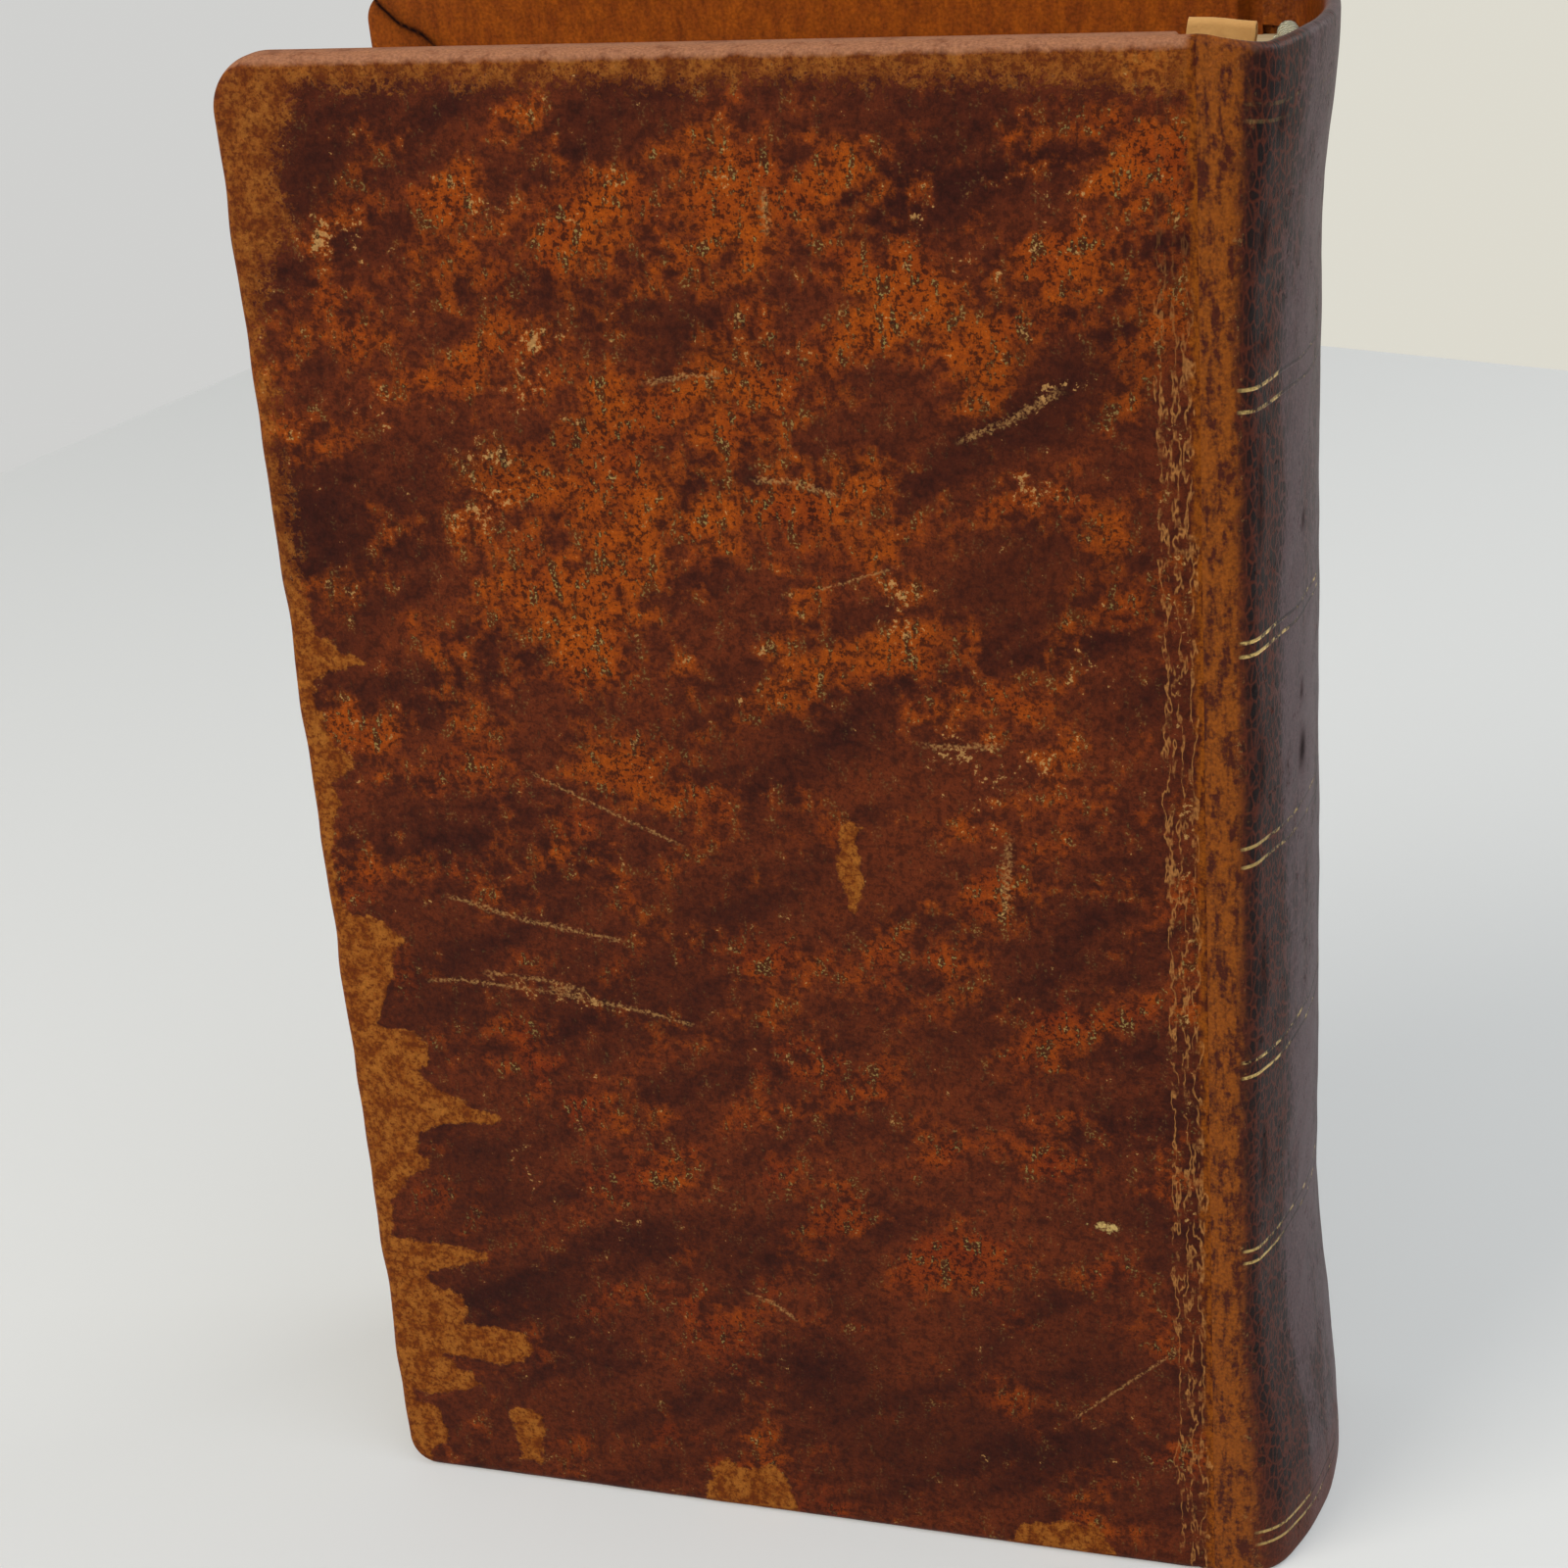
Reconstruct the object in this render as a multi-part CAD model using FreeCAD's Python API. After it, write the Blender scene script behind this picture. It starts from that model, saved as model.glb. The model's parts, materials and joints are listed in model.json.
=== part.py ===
import FreeCAD, Part
import math
import os

# An antique book in full leather, standing on its tail edge. Lengths are in millimetres.
# +X points to the spine, -Y is the outer face of the back cover, +Z is the head of the book.
# The origin is at the middle of the footprint, on the surface that the book stands on.

# Covers
COVER_HEIGHT = 180.0
COVER_WIDTH = 103.2  # fore-edge to hinge line
BOOK_THICKNESS = 44.0
COVER_SKIN = 0.8  # leather over the outside and round the edges
PASTEBOARD = 2.6
TURN_IN_SKIN = 0.5  # leather pared thin where it is turned in
TURN_IN_WIDTH = 12.0
BACK_HEAD_CORNER_RADIUS = 8.5  # the back cover's corner is worn round
FRONT_HEAD_CORNER_RADIUS = 3.5
TAIL_CORNER_RADIUS = 4.0
EDGE_ROUND = 1.2
MITRE_WIDTH = 0.35
MITRE_DEPTH = 0.25
PASTEDOWN = 0.2
PASTEDOWN_MARGIN = 0.8  # how far the paper stops short of the leaves' outline

# Leaves
HEAD_SQUARE = 7.2  # the sewn block has sagged, so the square is wide at the head
TAIL_SQUARE = 3.0
FORE_SQUARE = 4.0
FORE_EDGE_HOLLOW = 4.5
LEAF_CLEARANCE = 0.3  # leaves to pastedown

# Spine
SPINE_PROJECTION = 10.0  # beyond the hinge line at mid height
SPINE_RADIUS = 61.4
SHOULDER_RADIUS = 3.4
SPINE_SKIN = 0.9
SPINE_LINING = 0.3
GLUE_LINE = 0.05
JOINT_GAP = 0.3
JOINT_DROP = 0.3  # the spine leather lies this much below the cover leather at the hinge
BOARD_SETBACK = 0.9  # pasteboard stops this far before the hinge line
SHOULDER_FILLET = 0.8

# Head and tail caps, where the spine leather is doubled and flares out
CAP_TURN_IN = 0.8
CAP_FLARE = 2.9
CAP_SPINE_RADIUS = 52.0
CAP_SHOULDER_RADIUS = 7.0
HEADCAP_DROP = 1.3  # below the heads of the covers
HEADCAP_OPENING = 0.85  # share of the tail cap's flare
TAIL_FLARE_HEIGHT = 42.0
HEAD_FLARE_HEIGHT = 24.0
FLARE_SECTION_COUNT = 5  # straight steps that make up each flare

# Sewing
CORD_COUNT = 4
CORD_DIAMETER = 1.1
CORD_END_MARGIN = 22.0  # first and last cord from the tail and head of the leaves
KERF_CLEARANCE = 0.08
SLIP_WIDTH = 3.0
SLIP_LENGTH = 9.0
SLIP_THICKNESS = 0.55
SLIP_HOLE = 1.7
FAN_LENGTH = 8.0
FAN_WIDTH = 7.0
FAN_THICKNESS = 0.35
SLIP_CLEARANCE = 0.05
THREAD_SIDES = 6  # sides of the section that stands for a round cord or band

# Endbands
ENDBAND_DIAMETER = 2.2
ENDBAND_BEAD = 0.8
ENDBAND_SETBACK = 0.75  # from the back of the leaves
ENDBAND_HALF_LENGTH = 14.6
ENDBAND_SEAT = 0.05
ENDBAND_SEAM = 0.2  # how far the bead is worked into the core

# Paper slip left between two leaves, folded over at the top
MARKER_WIDTH = 6.8
MARKER_THICKNESS = 0.28
MARKER_DEPTH = 24.0  # below the head of the leaves
MARKER_RISE = 6.2  # above the head of the leaves
MARKER_FLAP = 2.3
MARKER_FLAP_GAP = 0.35
MARKER_TILT = 4.5  # degrees
MARKER_SPINE_DISTANCE = 8.9  # its middle, from the crown of the spine
MARKER_PLACE = -6.0  # across the thickness of the book
MARKER_CLEARANCE = 0.12

OVERLAP = 1.0  # how far a cutting shape runs past what it cuts

# Places that follow from the sizes above
total_length = COVER_WIDTH + SPINE_PROJECTION + CAP_FLARE
fore_x = -total_length / 2
hinge_x = fore_x + COVER_WIDTH
spine_x = hinge_x + SPINE_PROJECTION
outer_y = -BOOK_THICKNESS / 2
board_y = outer_y + COVER_SKIN
inner_y = board_y + PASTEBOARD
turned_y = inner_y + TURN_IN_SKIN
leaf_half = -(turned_y + PASTEDOWN + LEAF_CLEARANCE)
leaf_tail_z = TAIL_SQUARE
leaf_head_z = COVER_HEIGHT - HEAD_SQUARE
leaf_fore_x = fore_x + FORE_SQUARE
cover_end_x = hinge_x - JOINT_GAP / 2
board_end_x = hinge_x - BOARD_SETBACK
shoulder_x = hinge_x + JOINT_GAP / 2
shoulder_half = BOOK_THICKNESS / 2 - JOINT_DROP
headcap_z = COVER_HEIGHT - HEADCAP_DROP
lining_inset = SPINE_SKIN + GLUE_LINE
block_inset = lining_inset + SPINE_LINING + GLUE_LINE


def point(x, y, z=0.0):
    """A point of the book."""
    return FreeCAD.Vector(x, y, z)


def box(low, high):
    """A block between two opposite corners."""
    size = [high[i] - low[i] for i in range(3)]
    return Part.makeBox(size[0], size[1], size[2], point(*low))


def spine_edges(z, inset=0.0, opening=0.0, half_length=None):
    """Edges of the spine's rounded outline at height z, from the back joint to the front joint.

    inset is the depth below the leather's surface, and opening goes from 0 on the plain spine
    to 1 where a cap flares fully. With half_length, only the round between -half_length and
    +half_length is given.
    """
    crown_x = spine_x + opening * CAP_FLARE
    crown_radius = SPINE_RADIUS + opening * (CAP_SPINE_RADIUS - SPINE_RADIUS)
    corner_radius = SHOULDER_RADIUS + opening * (CAP_SHOULDER_RADIUS - SHOULDER_RADIUS)
    centre_x = crown_x - crown_radius
    corner_y = shoulder_half - corner_radius
    corner_x = centre_x + math.sqrt((crown_radius - corner_radius) ** 2 - corner_y ** 2)
    radius = crown_radius - inset
    corner = corner_radius - inset

    if half_length is not None:
        swing = math.asin(half_length / radius)
        ends = [point(centre_x + radius * math.cos(a), radius * math.sin(a), z)
                for a in (-swing, 0.0, swing)]
        return [Part.Arc(*ends).toShape()]

    swing = math.atan2(corner_y, corner_x - centre_x)
    turn = (swing + math.pi / 2) / 2
    start = point(shoulder_x, inset - shoulder_half, z)
    bend = point(corner_x, inset - shoulder_half, z)
    bend_middle = point(corner_x + corner * math.cos(turn), -corner_y - corner * math.sin(turn), z)
    round_start = point(centre_x + radius * math.cos(swing), -radius * math.sin(swing), z)
    crown = point(centre_x + radius, 0.0, z)

    def across(p):
        return point(p.x, -p.y, p.z)

    return [
        Part.LineSegment(start, bend).toShape(),
        Part.Arc(bend, bend_middle, round_start).toShape(),
        Part.Arc(round_start, crown, across(round_start)).toShape(),
        Part.Arc(across(round_start), across(bend_middle), across(bend)).toShape(),
        Part.LineSegment(across(bend), across(start)).toShape(),
    ]


def spine_band(z, outer_inset, inner_inset, opening=0.0):
    """Closed outline, at height z, of a layer that wraps the spine between two depths."""
    outer = spine_edges(z, outer_inset, opening)
    inner = spine_edges(z, inner_inset, opening)
    outer_ends = outer[0].Vertexes[0].Point, outer[-1].Vertexes[-1].Point
    inner_ends = inner[0].Vertexes[0].Point, inner[-1].Vertexes[-1].Point
    far_end = Part.LineSegment(outer_ends[1], inner_ends[1]).toShape()
    near_end = Part.LineSegment(inner_ends[0], outer_ends[0]).toShape()
    return Part.Wire(outer + [far_end] + inner[::-1] + [near_end])


def spine_layer(low_z, high_z, outer_inset, inner_inset):
    """A straight layer round the spine, between two heights and two depths."""
    face = Part.Face(spine_band(low_z, outer_inset, inner_inset))
    return face.extrude(point(0, 0, high_z - low_z))


def cap_opening(z):
    """How far the caps flare at height z: 1 at the tail's lip, 0 along the plain spine."""
    def fall(distance, reach):
        t = max(0.0, 1 - distance / reach)
        return t * t * (3 - 2 * t)

    return fall(z, TAIL_FLARE_HEIGHT) + HEADCAP_OPENING * fall(headcap_z - z, HEAD_FLARE_HEIGHT)


def evenly(low, high, steps):
    """Values from low to high in equal steps, both ends included."""
    return [low + (high - low) * i / steps for i in range(steps + 1)]


def flare_heights():
    """Section heights of the tail's flare and of the head's flare."""
    tail = evenly(0.0, TAIL_FLARE_HEIGHT, FLARE_SECTION_COUNT)
    return tail, evenly(headcap_z - HEAD_FLARE_HEIGHT, headcap_z, FLARE_SECTION_COUNT)


def cap_heights():
    """Section heights of the leather turned in at the tail and at the head, up to the leaves."""
    return evenly(0.0, leaf_tail_z - GLUE_LINE, 2), evenly(leaf_head_z + GLUE_LINE, headcap_z, 2)


def flared_layer(heights, outer_inset, inner_inset):
    """A layer round the spine that follows the flare of the caps, in short straight steps."""
    bands = [spine_band(z, outer_inset, inner_inset, cap_opening(z)) for z in heights]
    return Part.makeLoft(bands, True, True)


def cord_heights():
    """Heights of the sewing cords, evenly spaced between the first and the last."""
    return evenly(leaf_tail_z + CORD_END_MARGIN, leaf_head_z - CORD_END_MARGIN, CORD_COUNT - 1)


def marker_frame(shape):
    """Carry the marker slip, or the pocket for it, from its own axes to its place."""
    shape.rotate(point(0, 0), point(0, 1, 0), MARKER_TILT)
    shape.translate(point(spine_x - MARKER_SPINE_DISTANCE, MARKER_PLACE, leaf_head_z))
    return shape


def make_marker_slip():
    """Paper slip standing in the gutter, with its top folded forward into a short flap."""
    half = MARKER_THICKNESS / 2
    fold_radius = MARKER_FLAP_GAP / 2
    fold_y = -half - fold_radius
    fold_z = MARKER_RISE - fold_radius - MARKER_THICKNESS
    flap_back = fold_y - fold_radius
    flap_front = flap_back - MARKER_THICKNESS
    flap_z = fold_z - MARKER_FLAP
    left = -MARKER_WIDTH / 2

    def at(y, z):
        return point(left, y, z)

    stem_outside = at(half, fold_z)
    stem_inside = at(-half, fold_z)
    outline = Part.Wire([
        Part.LineSegment(at(half, -MARKER_DEPTH), stem_outside).toShape(),
        Part.Arc(stem_outside, at(fold_y, MARKER_RISE), at(flap_front, fold_z)).toShape(),
        Part.LineSegment(at(flap_front, fold_z), at(flap_front, flap_z)).toShape(),
        Part.LineSegment(at(flap_front, flap_z), at(flap_back, flap_z)).toShape(),
        Part.LineSegment(at(flap_back, flap_z), at(flap_back, fold_z)).toShape(),
        Part.Arc(at(flap_back, fold_z), at(fold_y, fold_z + fold_radius), stem_inside).toShape(),
        Part.LineSegment(stem_inside, at(-half, -MARKER_DEPTH)).toShape(),
        Part.LineSegment(at(-half, -MARKER_DEPTH), at(half, -MARKER_DEPTH)).toShape(),
    ])
    return marker_frame(Part.Face(outline).extrude(point(MARKER_WIDTH, 0, 0)))


def make_text_block():
    """Sewn leaves, rounded and backed: hollow fore-edge, shoulders for the boards, sawn-in kerfs."""
    back = spine_edges(leaf_tail_z, block_inset)
    shoulder = back[0].Vertexes[0].Point
    foot_y = -leaf_half - SHOULDER_FILLET
    bend = SHOULDER_FILLET * (1 - math.sqrt(0.5))
    z = leaf_tail_z

    def side(sign):
        corner = [
            point(leaf_fore_x, -sign * leaf_half, z),
            point(shoulder_x - SHOULDER_FILLET, -sign * leaf_half, z),
            point(shoulder_x - bend, -sign * (leaf_half + bend), z),
            point(shoulder_x, sign * foot_y, z),
            point(shoulder_x, sign * shoulder.y, z),
        ]
        return [
            Part.LineSegment(corner[0], corner[1]).toShape(),
            Part.Arc(corner[1], corner[2], corner[3]).toShape(),
            Part.LineSegment(corner[3], corner[4]).toShape(),
        ]

    fore_edge = Part.Arc(
        point(leaf_fore_x, leaf_half, z),
        point(leaf_fore_x + FORE_EDGE_HOLLOW, 0, z),
        point(leaf_fore_x, -leaf_half, z),
    ).toShape()
    outline = Part.Wire(side(1) + back + side(-1)[::-1] + [fore_edge])
    block = Part.Face(outline).extrude(point(0, 0, leaf_head_z - leaf_tail_z))

    kerf_depth = CORD_DIAMETER + 2 * KERF_CLEARANCE
    for height in cord_heights():
        low = height - kerf_depth / 2
        block = block.cut(spine_layer(low, low + kerf_depth, block_inset - KERF_CLEARANCE,
                                      block_inset + kerf_depth))

    pocket_half = MARKER_THICKNESS / 2 + MARKER_CLEARANCE
    pocket = box((-MARKER_WIDTH / 2 - MARKER_CLEARANCE, -pocket_half, -MARKER_DEPTH - MARKER_CLEARANCE),
                 (MARKER_WIDTH / 2 + MARKER_CLEARANCE, pocket_half, OVERLAP))
    return block.cut(marker_frame(pocket))


def thread_section(diameter, start, direction):
    """Section of a cord or band: a polygon of THREAD_SIDES sides, square to its path's start."""
    section = Part.makePolygon([
        point(diameter / 2 * math.cos(a), diameter / 2 * math.sin(a))
        for a in evenly(0.0, 2 * math.pi, THREAD_SIDES)
    ])
    section.Placement = FreeCAD.Placement(start, FreeCAD.Rotation(point(0, 0, 1), direction))
    return Part.Wire(section)


def make_sewing_cord(height):
    """Cord across the backs of the leaves, flush in its kerf, from shoulder to shoulder."""
    path = Part.Wire(spine_edges(height, block_inset + KERF_CLEARANCE + CORD_DIAMETER / 2))
    start = path.Edges[0].Vertexes[0].Point
    section = thread_section(CORD_DIAMETER, start, point(1, 0, 0))
    return path.makePipeShell([section], True, False)


def make_endband(seat_z, up):
    """Round core with its bead, sewn on the end of the leaves and bent to the round of the spine."""
    core_inset = block_inset + ENDBAND_SETBACK + ENDBAND_DIAMETER / 2
    reach = (ENDBAND_DIAMETER + ENDBAND_BEAD) / 2 - ENDBAND_SEAM
    bead_inset = core_inset + math.sqrt(reach ** 2 - ((ENDBAND_DIAMETER - ENDBAND_BEAD) / 2) ** 2)
    pieces = []
    for diameter, inset in ((ENDBAND_DIAMETER, core_inset), (ENDBAND_BEAD, bead_inset)):
        height = seat_z + up * (ENDBAND_SEAT + diameter / 2)
        path = Part.Wire(spine_edges(height, inset, half_length=ENDBAND_HALF_LENGTH))
        start = path.Edges[0].Vertexes[0].Point
        direction = path.Edges[0].tangentAt(path.Edges[0].FirstParameter)
        section = thread_section(diameter, start, direction)
        pieces.append(path.makePipeShell([section], True, True))
    return pieces[0].fuse(pieces[1])


def make_spine_leather():
    """Leather of the spine, from the tail cap to the headcap, doubled and flared at both caps."""
    plain = spine_layer(TAIL_FLARE_HEIGHT, headcap_z - HEAD_FLARE_HEIGHT, 0.0, SPINE_SKIN)
    flares = [flared_layer(heights, 0.0, SPINE_SKIN) for heights in flare_heights()]
    turned_in = [flared_layer(heights, SPINE_SKIN - GLUE_LINE, SPINE_SKIN + CAP_TURN_IN)
                 for heights in cap_heights()]
    return plain.fuse(flares + turned_in)


def slab(low_x, high_x, low_z, high_z, low_y, high_y, tail_radius, head_radius):
    """Upright board with rounded fore corners, square at the hinge side."""
    def corner(z, radius, turn):
        """Round of one fore corner, between the end edge at z and the fore-edge."""
        bend = radius * (1 - math.sqrt(0.5))
        return [point(low_x + radius, low_y, z), point(low_x + bend, low_y, z + turn * bend),
                point(low_x, low_y, z + turn * radius)]

    tail = corner(low_z, tail_radius, 1)
    head = corner(high_z, head_radius, -1)
    ends = point(high_x, low_y, low_z), point(high_x, low_y, high_z)
    outline = Part.Wire([
        Part.LineSegment(ends[0], tail[0]).toShape(),
        Part.Arc(*tail).toShape(),
        Part.LineSegment(tail[2], head[2]).toShape(),
        Part.Arc(*head[::-1]).toShape(),
        Part.LineSegment(head[0], ends[1]).toShape(),
        Part.LineSegment(ends[1], ends[0]).toShape(),
    ])
    return Part.Face(outline).extrude(point(0, high_y - low_y, 0))


def softened(board, radius):
    """The board with its edges rounded, apart from those of the hinge side."""
    hinge_side = board.BoundBox.XMax

    def runs_round(edge):
        """Whether an edge lies flat on one face of the board and off the hinge side."""
        ys = [v.Y for v in edge.Vertexes]
        return math.isclose(ys[0], ys[-1]) and edge.CenterOfMass.x < hinge_side - radius

    return board.makeFillet(radius, [e for e in board.Edges if runs_round(e)])


def make_cord_slip(height, clearance=0.0):
    """End of a cord laced through the pasteboard: flat outside, through a hole, fanned inside."""
    c = clearance
    lace_x = board_end_x - SLIP_LENGTH
    outside = box((lace_x - c, board_y, height - SLIP_WIDTH / 2 - c),
                  (board_end_x + c, board_y + SLIP_THICKNESS + c, height + SLIP_WIDTH / 2 + c))
    lace = Part.makeCylinder(SLIP_HOLE / 2 + c, PASTEBOARD, point(lace_x, board_y, height), point(0, 1, 0))
    near = SLIP_HOLE / 2 + c
    far = FAN_WIDTH / 2 + c
    fan_y = inner_y - FAN_THICKNESS - c
    corners = [point(lace_x, fan_y, height - near), point(lace_x, fan_y, height + near),
               point(lace_x - FAN_LENGTH - c, fan_y, height + far),
               point(lace_x - FAN_LENGTH - c, fan_y, height - far)]
    fan = Part.Face(Part.makePolygon(corners + corners[:1])).extrude(point(0, FAN_THICKNESS + c, 0))
    return outside.fuse([lace, fan]).removeSplitter()


def board_slab(head_radius):
    """Outline of the pasteboard, also used to hollow the leather that wraps it."""
    return slab(fore_x + COVER_SKIN, board_end_x, COVER_SKIN, COVER_HEIGHT - COVER_SKIN, board_y, inner_y,
                TAIL_CORNER_RADIUS - COVER_SKIN, head_radius - COVER_SKIN)


def make_board(head_radius):
    """Pasteboard with channels, holes and recesses for the laced cords."""
    board = board_slab(head_radius)
    for height in cord_heights():
        board = board.cut(make_cord_slip(height, SLIP_CLEARANCE))
    return board


def make_cover_leather(head_radius):
    """Leather drawn over the board and turned in round three edges, with mitred corners."""
    skin = softened(slab(fore_x, cover_end_x, 0.0, COVER_HEIGHT, outer_y, turned_y,
                         TAIL_CORNER_RADIUS, head_radius), EDGE_ROUND)
    window = box((fore_x + TURN_IN_WIDTH, inner_y - OVERLAP / 2, TURN_IN_WIDTH),
                 (hinge_x, turned_y + OVERLAP, COVER_HEIGHT - TURN_IN_WIDTH))
    joint = box((board_end_x, board_y, -OVERLAP), (hinge_x, turned_y + OVERLAP, COVER_HEIGHT + OVERLAP))
    skin = skin.cut([board_slab(head_radius), window, joint])

    mitre_length = TURN_IN_WIDTH * math.sqrt(2) + OVERLAP
    for z, angle in ((0.0, -45.0), (COVER_HEIGHT, 45.0)):
        mitre = box((0, turned_y - MITRE_DEPTH, -MITRE_WIDTH / 2),
                    (mitre_length, turned_y + OVERLAP, MITRE_WIDTH / 2))
        mitre.rotate(point(0, 0), point(0, 1, 0), angle)
        mitre.translate(point(fore_x, 0, z))
        skin = skin.cut(mitre)
    return skin


def make_pastedown():
    """Paper pasted inside the cover, dipping from the turned-in leather to the board."""
    margin = PASTEDOWN_MARGIN
    face_y = turned_y + PASTEDOWN
    low_x = leaf_fore_x + margin
    sheet = box((low_x, turned_y, leaf_tail_z + margin), (board_end_x, face_y, leaf_head_z - margin))
    edge = TURN_IN_WIDTH + GLUE_LINE
    dip = box((fore_x + edge, inner_y, edge), (board_end_x, face_y, COVER_HEIGHT - edge))
    wall = edge + PASTEDOWN
    hollow = box((fore_x + wall, inner_y + PASTEDOWN, wall),
                 (board_end_x + OVERLAP, face_y + OVERLAP, COVER_HEIGHT - wall))
    return sheet.fuse(dip).cut(hollow).removeSplitter()


def mirrored(shape):
    """The same piece for the front cover, across the middle of the book."""
    return shape.mirror(point(0, 0), point(0, 1, 0))


nodes = {
    "text_block": make_text_block(),
    "spine_lining": spine_layer(leaf_tail_z + PASTEDOWN_MARGIN, leaf_head_z - PASTEDOWN_MARGIN,
                                lining_inset, lining_inset + SPINE_LINING),
    "spine_leather": make_spine_leather(),
    "head_endband": make_endband(leaf_head_z, 1),
    "tail_endband": make_endband(leaf_tail_z, -1),
    "marker_slip": make_marker_slip(),
}
for number, height in enumerate(cord_heights(), start=1):
    nodes[f"sewing_cord_{number}"] = make_sewing_cord(height)

for side, head_radius in (("back", BACK_HEAD_CORNER_RADIUS), ("front", FRONT_HEAD_CORNER_RADIUS)):
    cover = {
        "board": make_board(head_radius),
        "cover_leather": make_cover_leather(head_radius),
        "pastedown": make_pastedown(),
    }
    for number, height in enumerate(cord_heights(), start=1):
        cover[f"cord_slip_{number}"] = make_cord_slip(height)
    for name, shape in cover.items():
        nodes[f"{side}_{name}"] = shape if side == "back" else mirrored(shape)

os.makedirs("parts", exist_ok=True)
for name, shape in nodes.items():
    shape.exportStep(f"parts/{name}.step")
    print(name, len(shape.Solids), shape.isValid(), round(shape.Volume, 1))
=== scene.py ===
import json
import logging
import math
from dataclasses import dataclass, field
from enum import Enum

import bpy
import numpy as np
from mathutils import Matrix, Vector, noise


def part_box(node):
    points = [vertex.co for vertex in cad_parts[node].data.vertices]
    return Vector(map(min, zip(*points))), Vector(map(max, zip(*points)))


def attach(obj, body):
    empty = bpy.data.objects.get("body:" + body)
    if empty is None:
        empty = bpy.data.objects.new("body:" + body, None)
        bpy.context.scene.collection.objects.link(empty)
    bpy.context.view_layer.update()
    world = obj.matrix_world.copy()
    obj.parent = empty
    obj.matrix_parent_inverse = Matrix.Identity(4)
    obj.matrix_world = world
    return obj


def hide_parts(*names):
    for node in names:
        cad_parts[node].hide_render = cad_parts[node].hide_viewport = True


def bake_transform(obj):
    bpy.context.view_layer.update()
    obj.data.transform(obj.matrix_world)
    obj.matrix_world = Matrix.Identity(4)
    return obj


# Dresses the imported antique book: mottled calf covers, smooth gilt spine, aged paper, sewn endbands
# and the folded paper slip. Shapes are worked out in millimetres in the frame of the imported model.

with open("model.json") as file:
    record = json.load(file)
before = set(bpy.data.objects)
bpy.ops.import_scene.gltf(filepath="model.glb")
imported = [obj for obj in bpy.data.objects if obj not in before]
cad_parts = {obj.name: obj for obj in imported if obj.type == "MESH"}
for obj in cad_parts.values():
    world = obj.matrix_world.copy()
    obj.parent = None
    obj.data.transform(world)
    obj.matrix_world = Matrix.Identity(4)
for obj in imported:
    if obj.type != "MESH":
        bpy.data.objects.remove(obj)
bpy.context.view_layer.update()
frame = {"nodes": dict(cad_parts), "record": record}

log = logging.getLogger("antique_book")
MM = 0.001
MATH = "ShaderNodeMath"
RANGE = "ShaderNodeMapRange"
MIX = "ShaderNodeMixRGB"
NOISE = "ShaderNodeTexNoise"
MARK = "ShaderNodeAttribute"  # reads a value that each point of a piece carries
SHADER = "ShaderNodeBsdfPrincipled"
CIRCLE = "GeometryNodeCurvePrimitiveCircle"
SWEEP = "GeometryNodeCurveToMesh"  # sweeps an outline along a curve
Socket = bpy.types.NodeSocket
Grid = np.ndarray


class Side(Enum):
    """The two covers, by the side of the book that they close."""

    BACK = -1.0
    FRONT = 1.0

    @property
    def word(self) -> str:
        """The first word of the names of this cover's pieces."""
        return self.name.lower()

    @property
    def body(self) -> str:
        """The body of this cover, as the record's joints name it."""
        return f"{self.word}_cover"


def corners(node: str) -> tuple[Grid, Grid]:
    """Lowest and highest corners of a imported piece, in millimetres."""
    low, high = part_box(node)
    return np.array(low) / MM, np.array(high) / MM


def hinge_line(body: str) -> float:
    """Place along the book of the line that a cover turns about, in millimetres."""
    joints = frame["record"]["behaviour"]["joints"]
    return next(joint["pos_m"][0] for joint in joints if joint["child"] == body) / MM


def smooth(value: Grid, start: float, end: float) -> Grid:
    """Soft step from 0 at start to 1 at end."""
    t = np.clip((value - start) / (end - start), 0.0, 1.0)
    return t * t * (3 - 2 * t)


def unevenness(points: Grid, wavelength: float, seed: int) -> Grid:
    """Gentle irregular waves, from about -1 to 1, for surfaces that were made by hand.

    Args:
        points: Places in millimetres, one per row.
        wavelength: Typical length of a wave in millimetres.
        seed: Picks the pattern.

    Returns:
        One value per point.
    """
    dice = np.random.default_rng(seed)
    waves = np.zeros(len(points))
    for _ in range(7):
        direction = dice.normal(size=3)
        direction /= np.linalg.norm(direction)
        pitch = wavelength * dice.uniform(0.6, 1.6)
        waves += np.sin(points @ direction * (2 * math.pi / pitch) + dice.uniform(0, 2 * math.pi))
    return waves / 3.5


def clouds(places: Grid, size: tuple[float, float, float], tilt: float, octaves: int, seed: int) -> Grid:
    """Cloudy pattern from 0 to 1, drawn out along one direction of the cover.

    Args:
        places: Places in millimetres, one per row.
        size: Size of its main features along the streaks, across the book, and across the streaks.
        tilt: How steeply the streaks climb towards the spine, in degrees.
        octaves: How many finer patterns are laid over the first.
        seed: Picks the pattern.

    Returns:
        One value per place.
    """
    c, s = math.cos(math.radians(tilt)), math.sin(math.radians(tilt))
    along = (places[:, 0] * c + places[:, 2] * s) / size[0] + seed * 17.3
    across = (places[:, 2] * c - places[:, 0] * s) / size[2]
    rows = np.column_stack([along, places[:, 1] / size[1], across])
    values = np.array([noise.fractal(Vector(row), 0.7, 2.0, octaves) for row in rows])
    return np.clip(0.5 + 0.5 * values, 0, 1)


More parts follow.
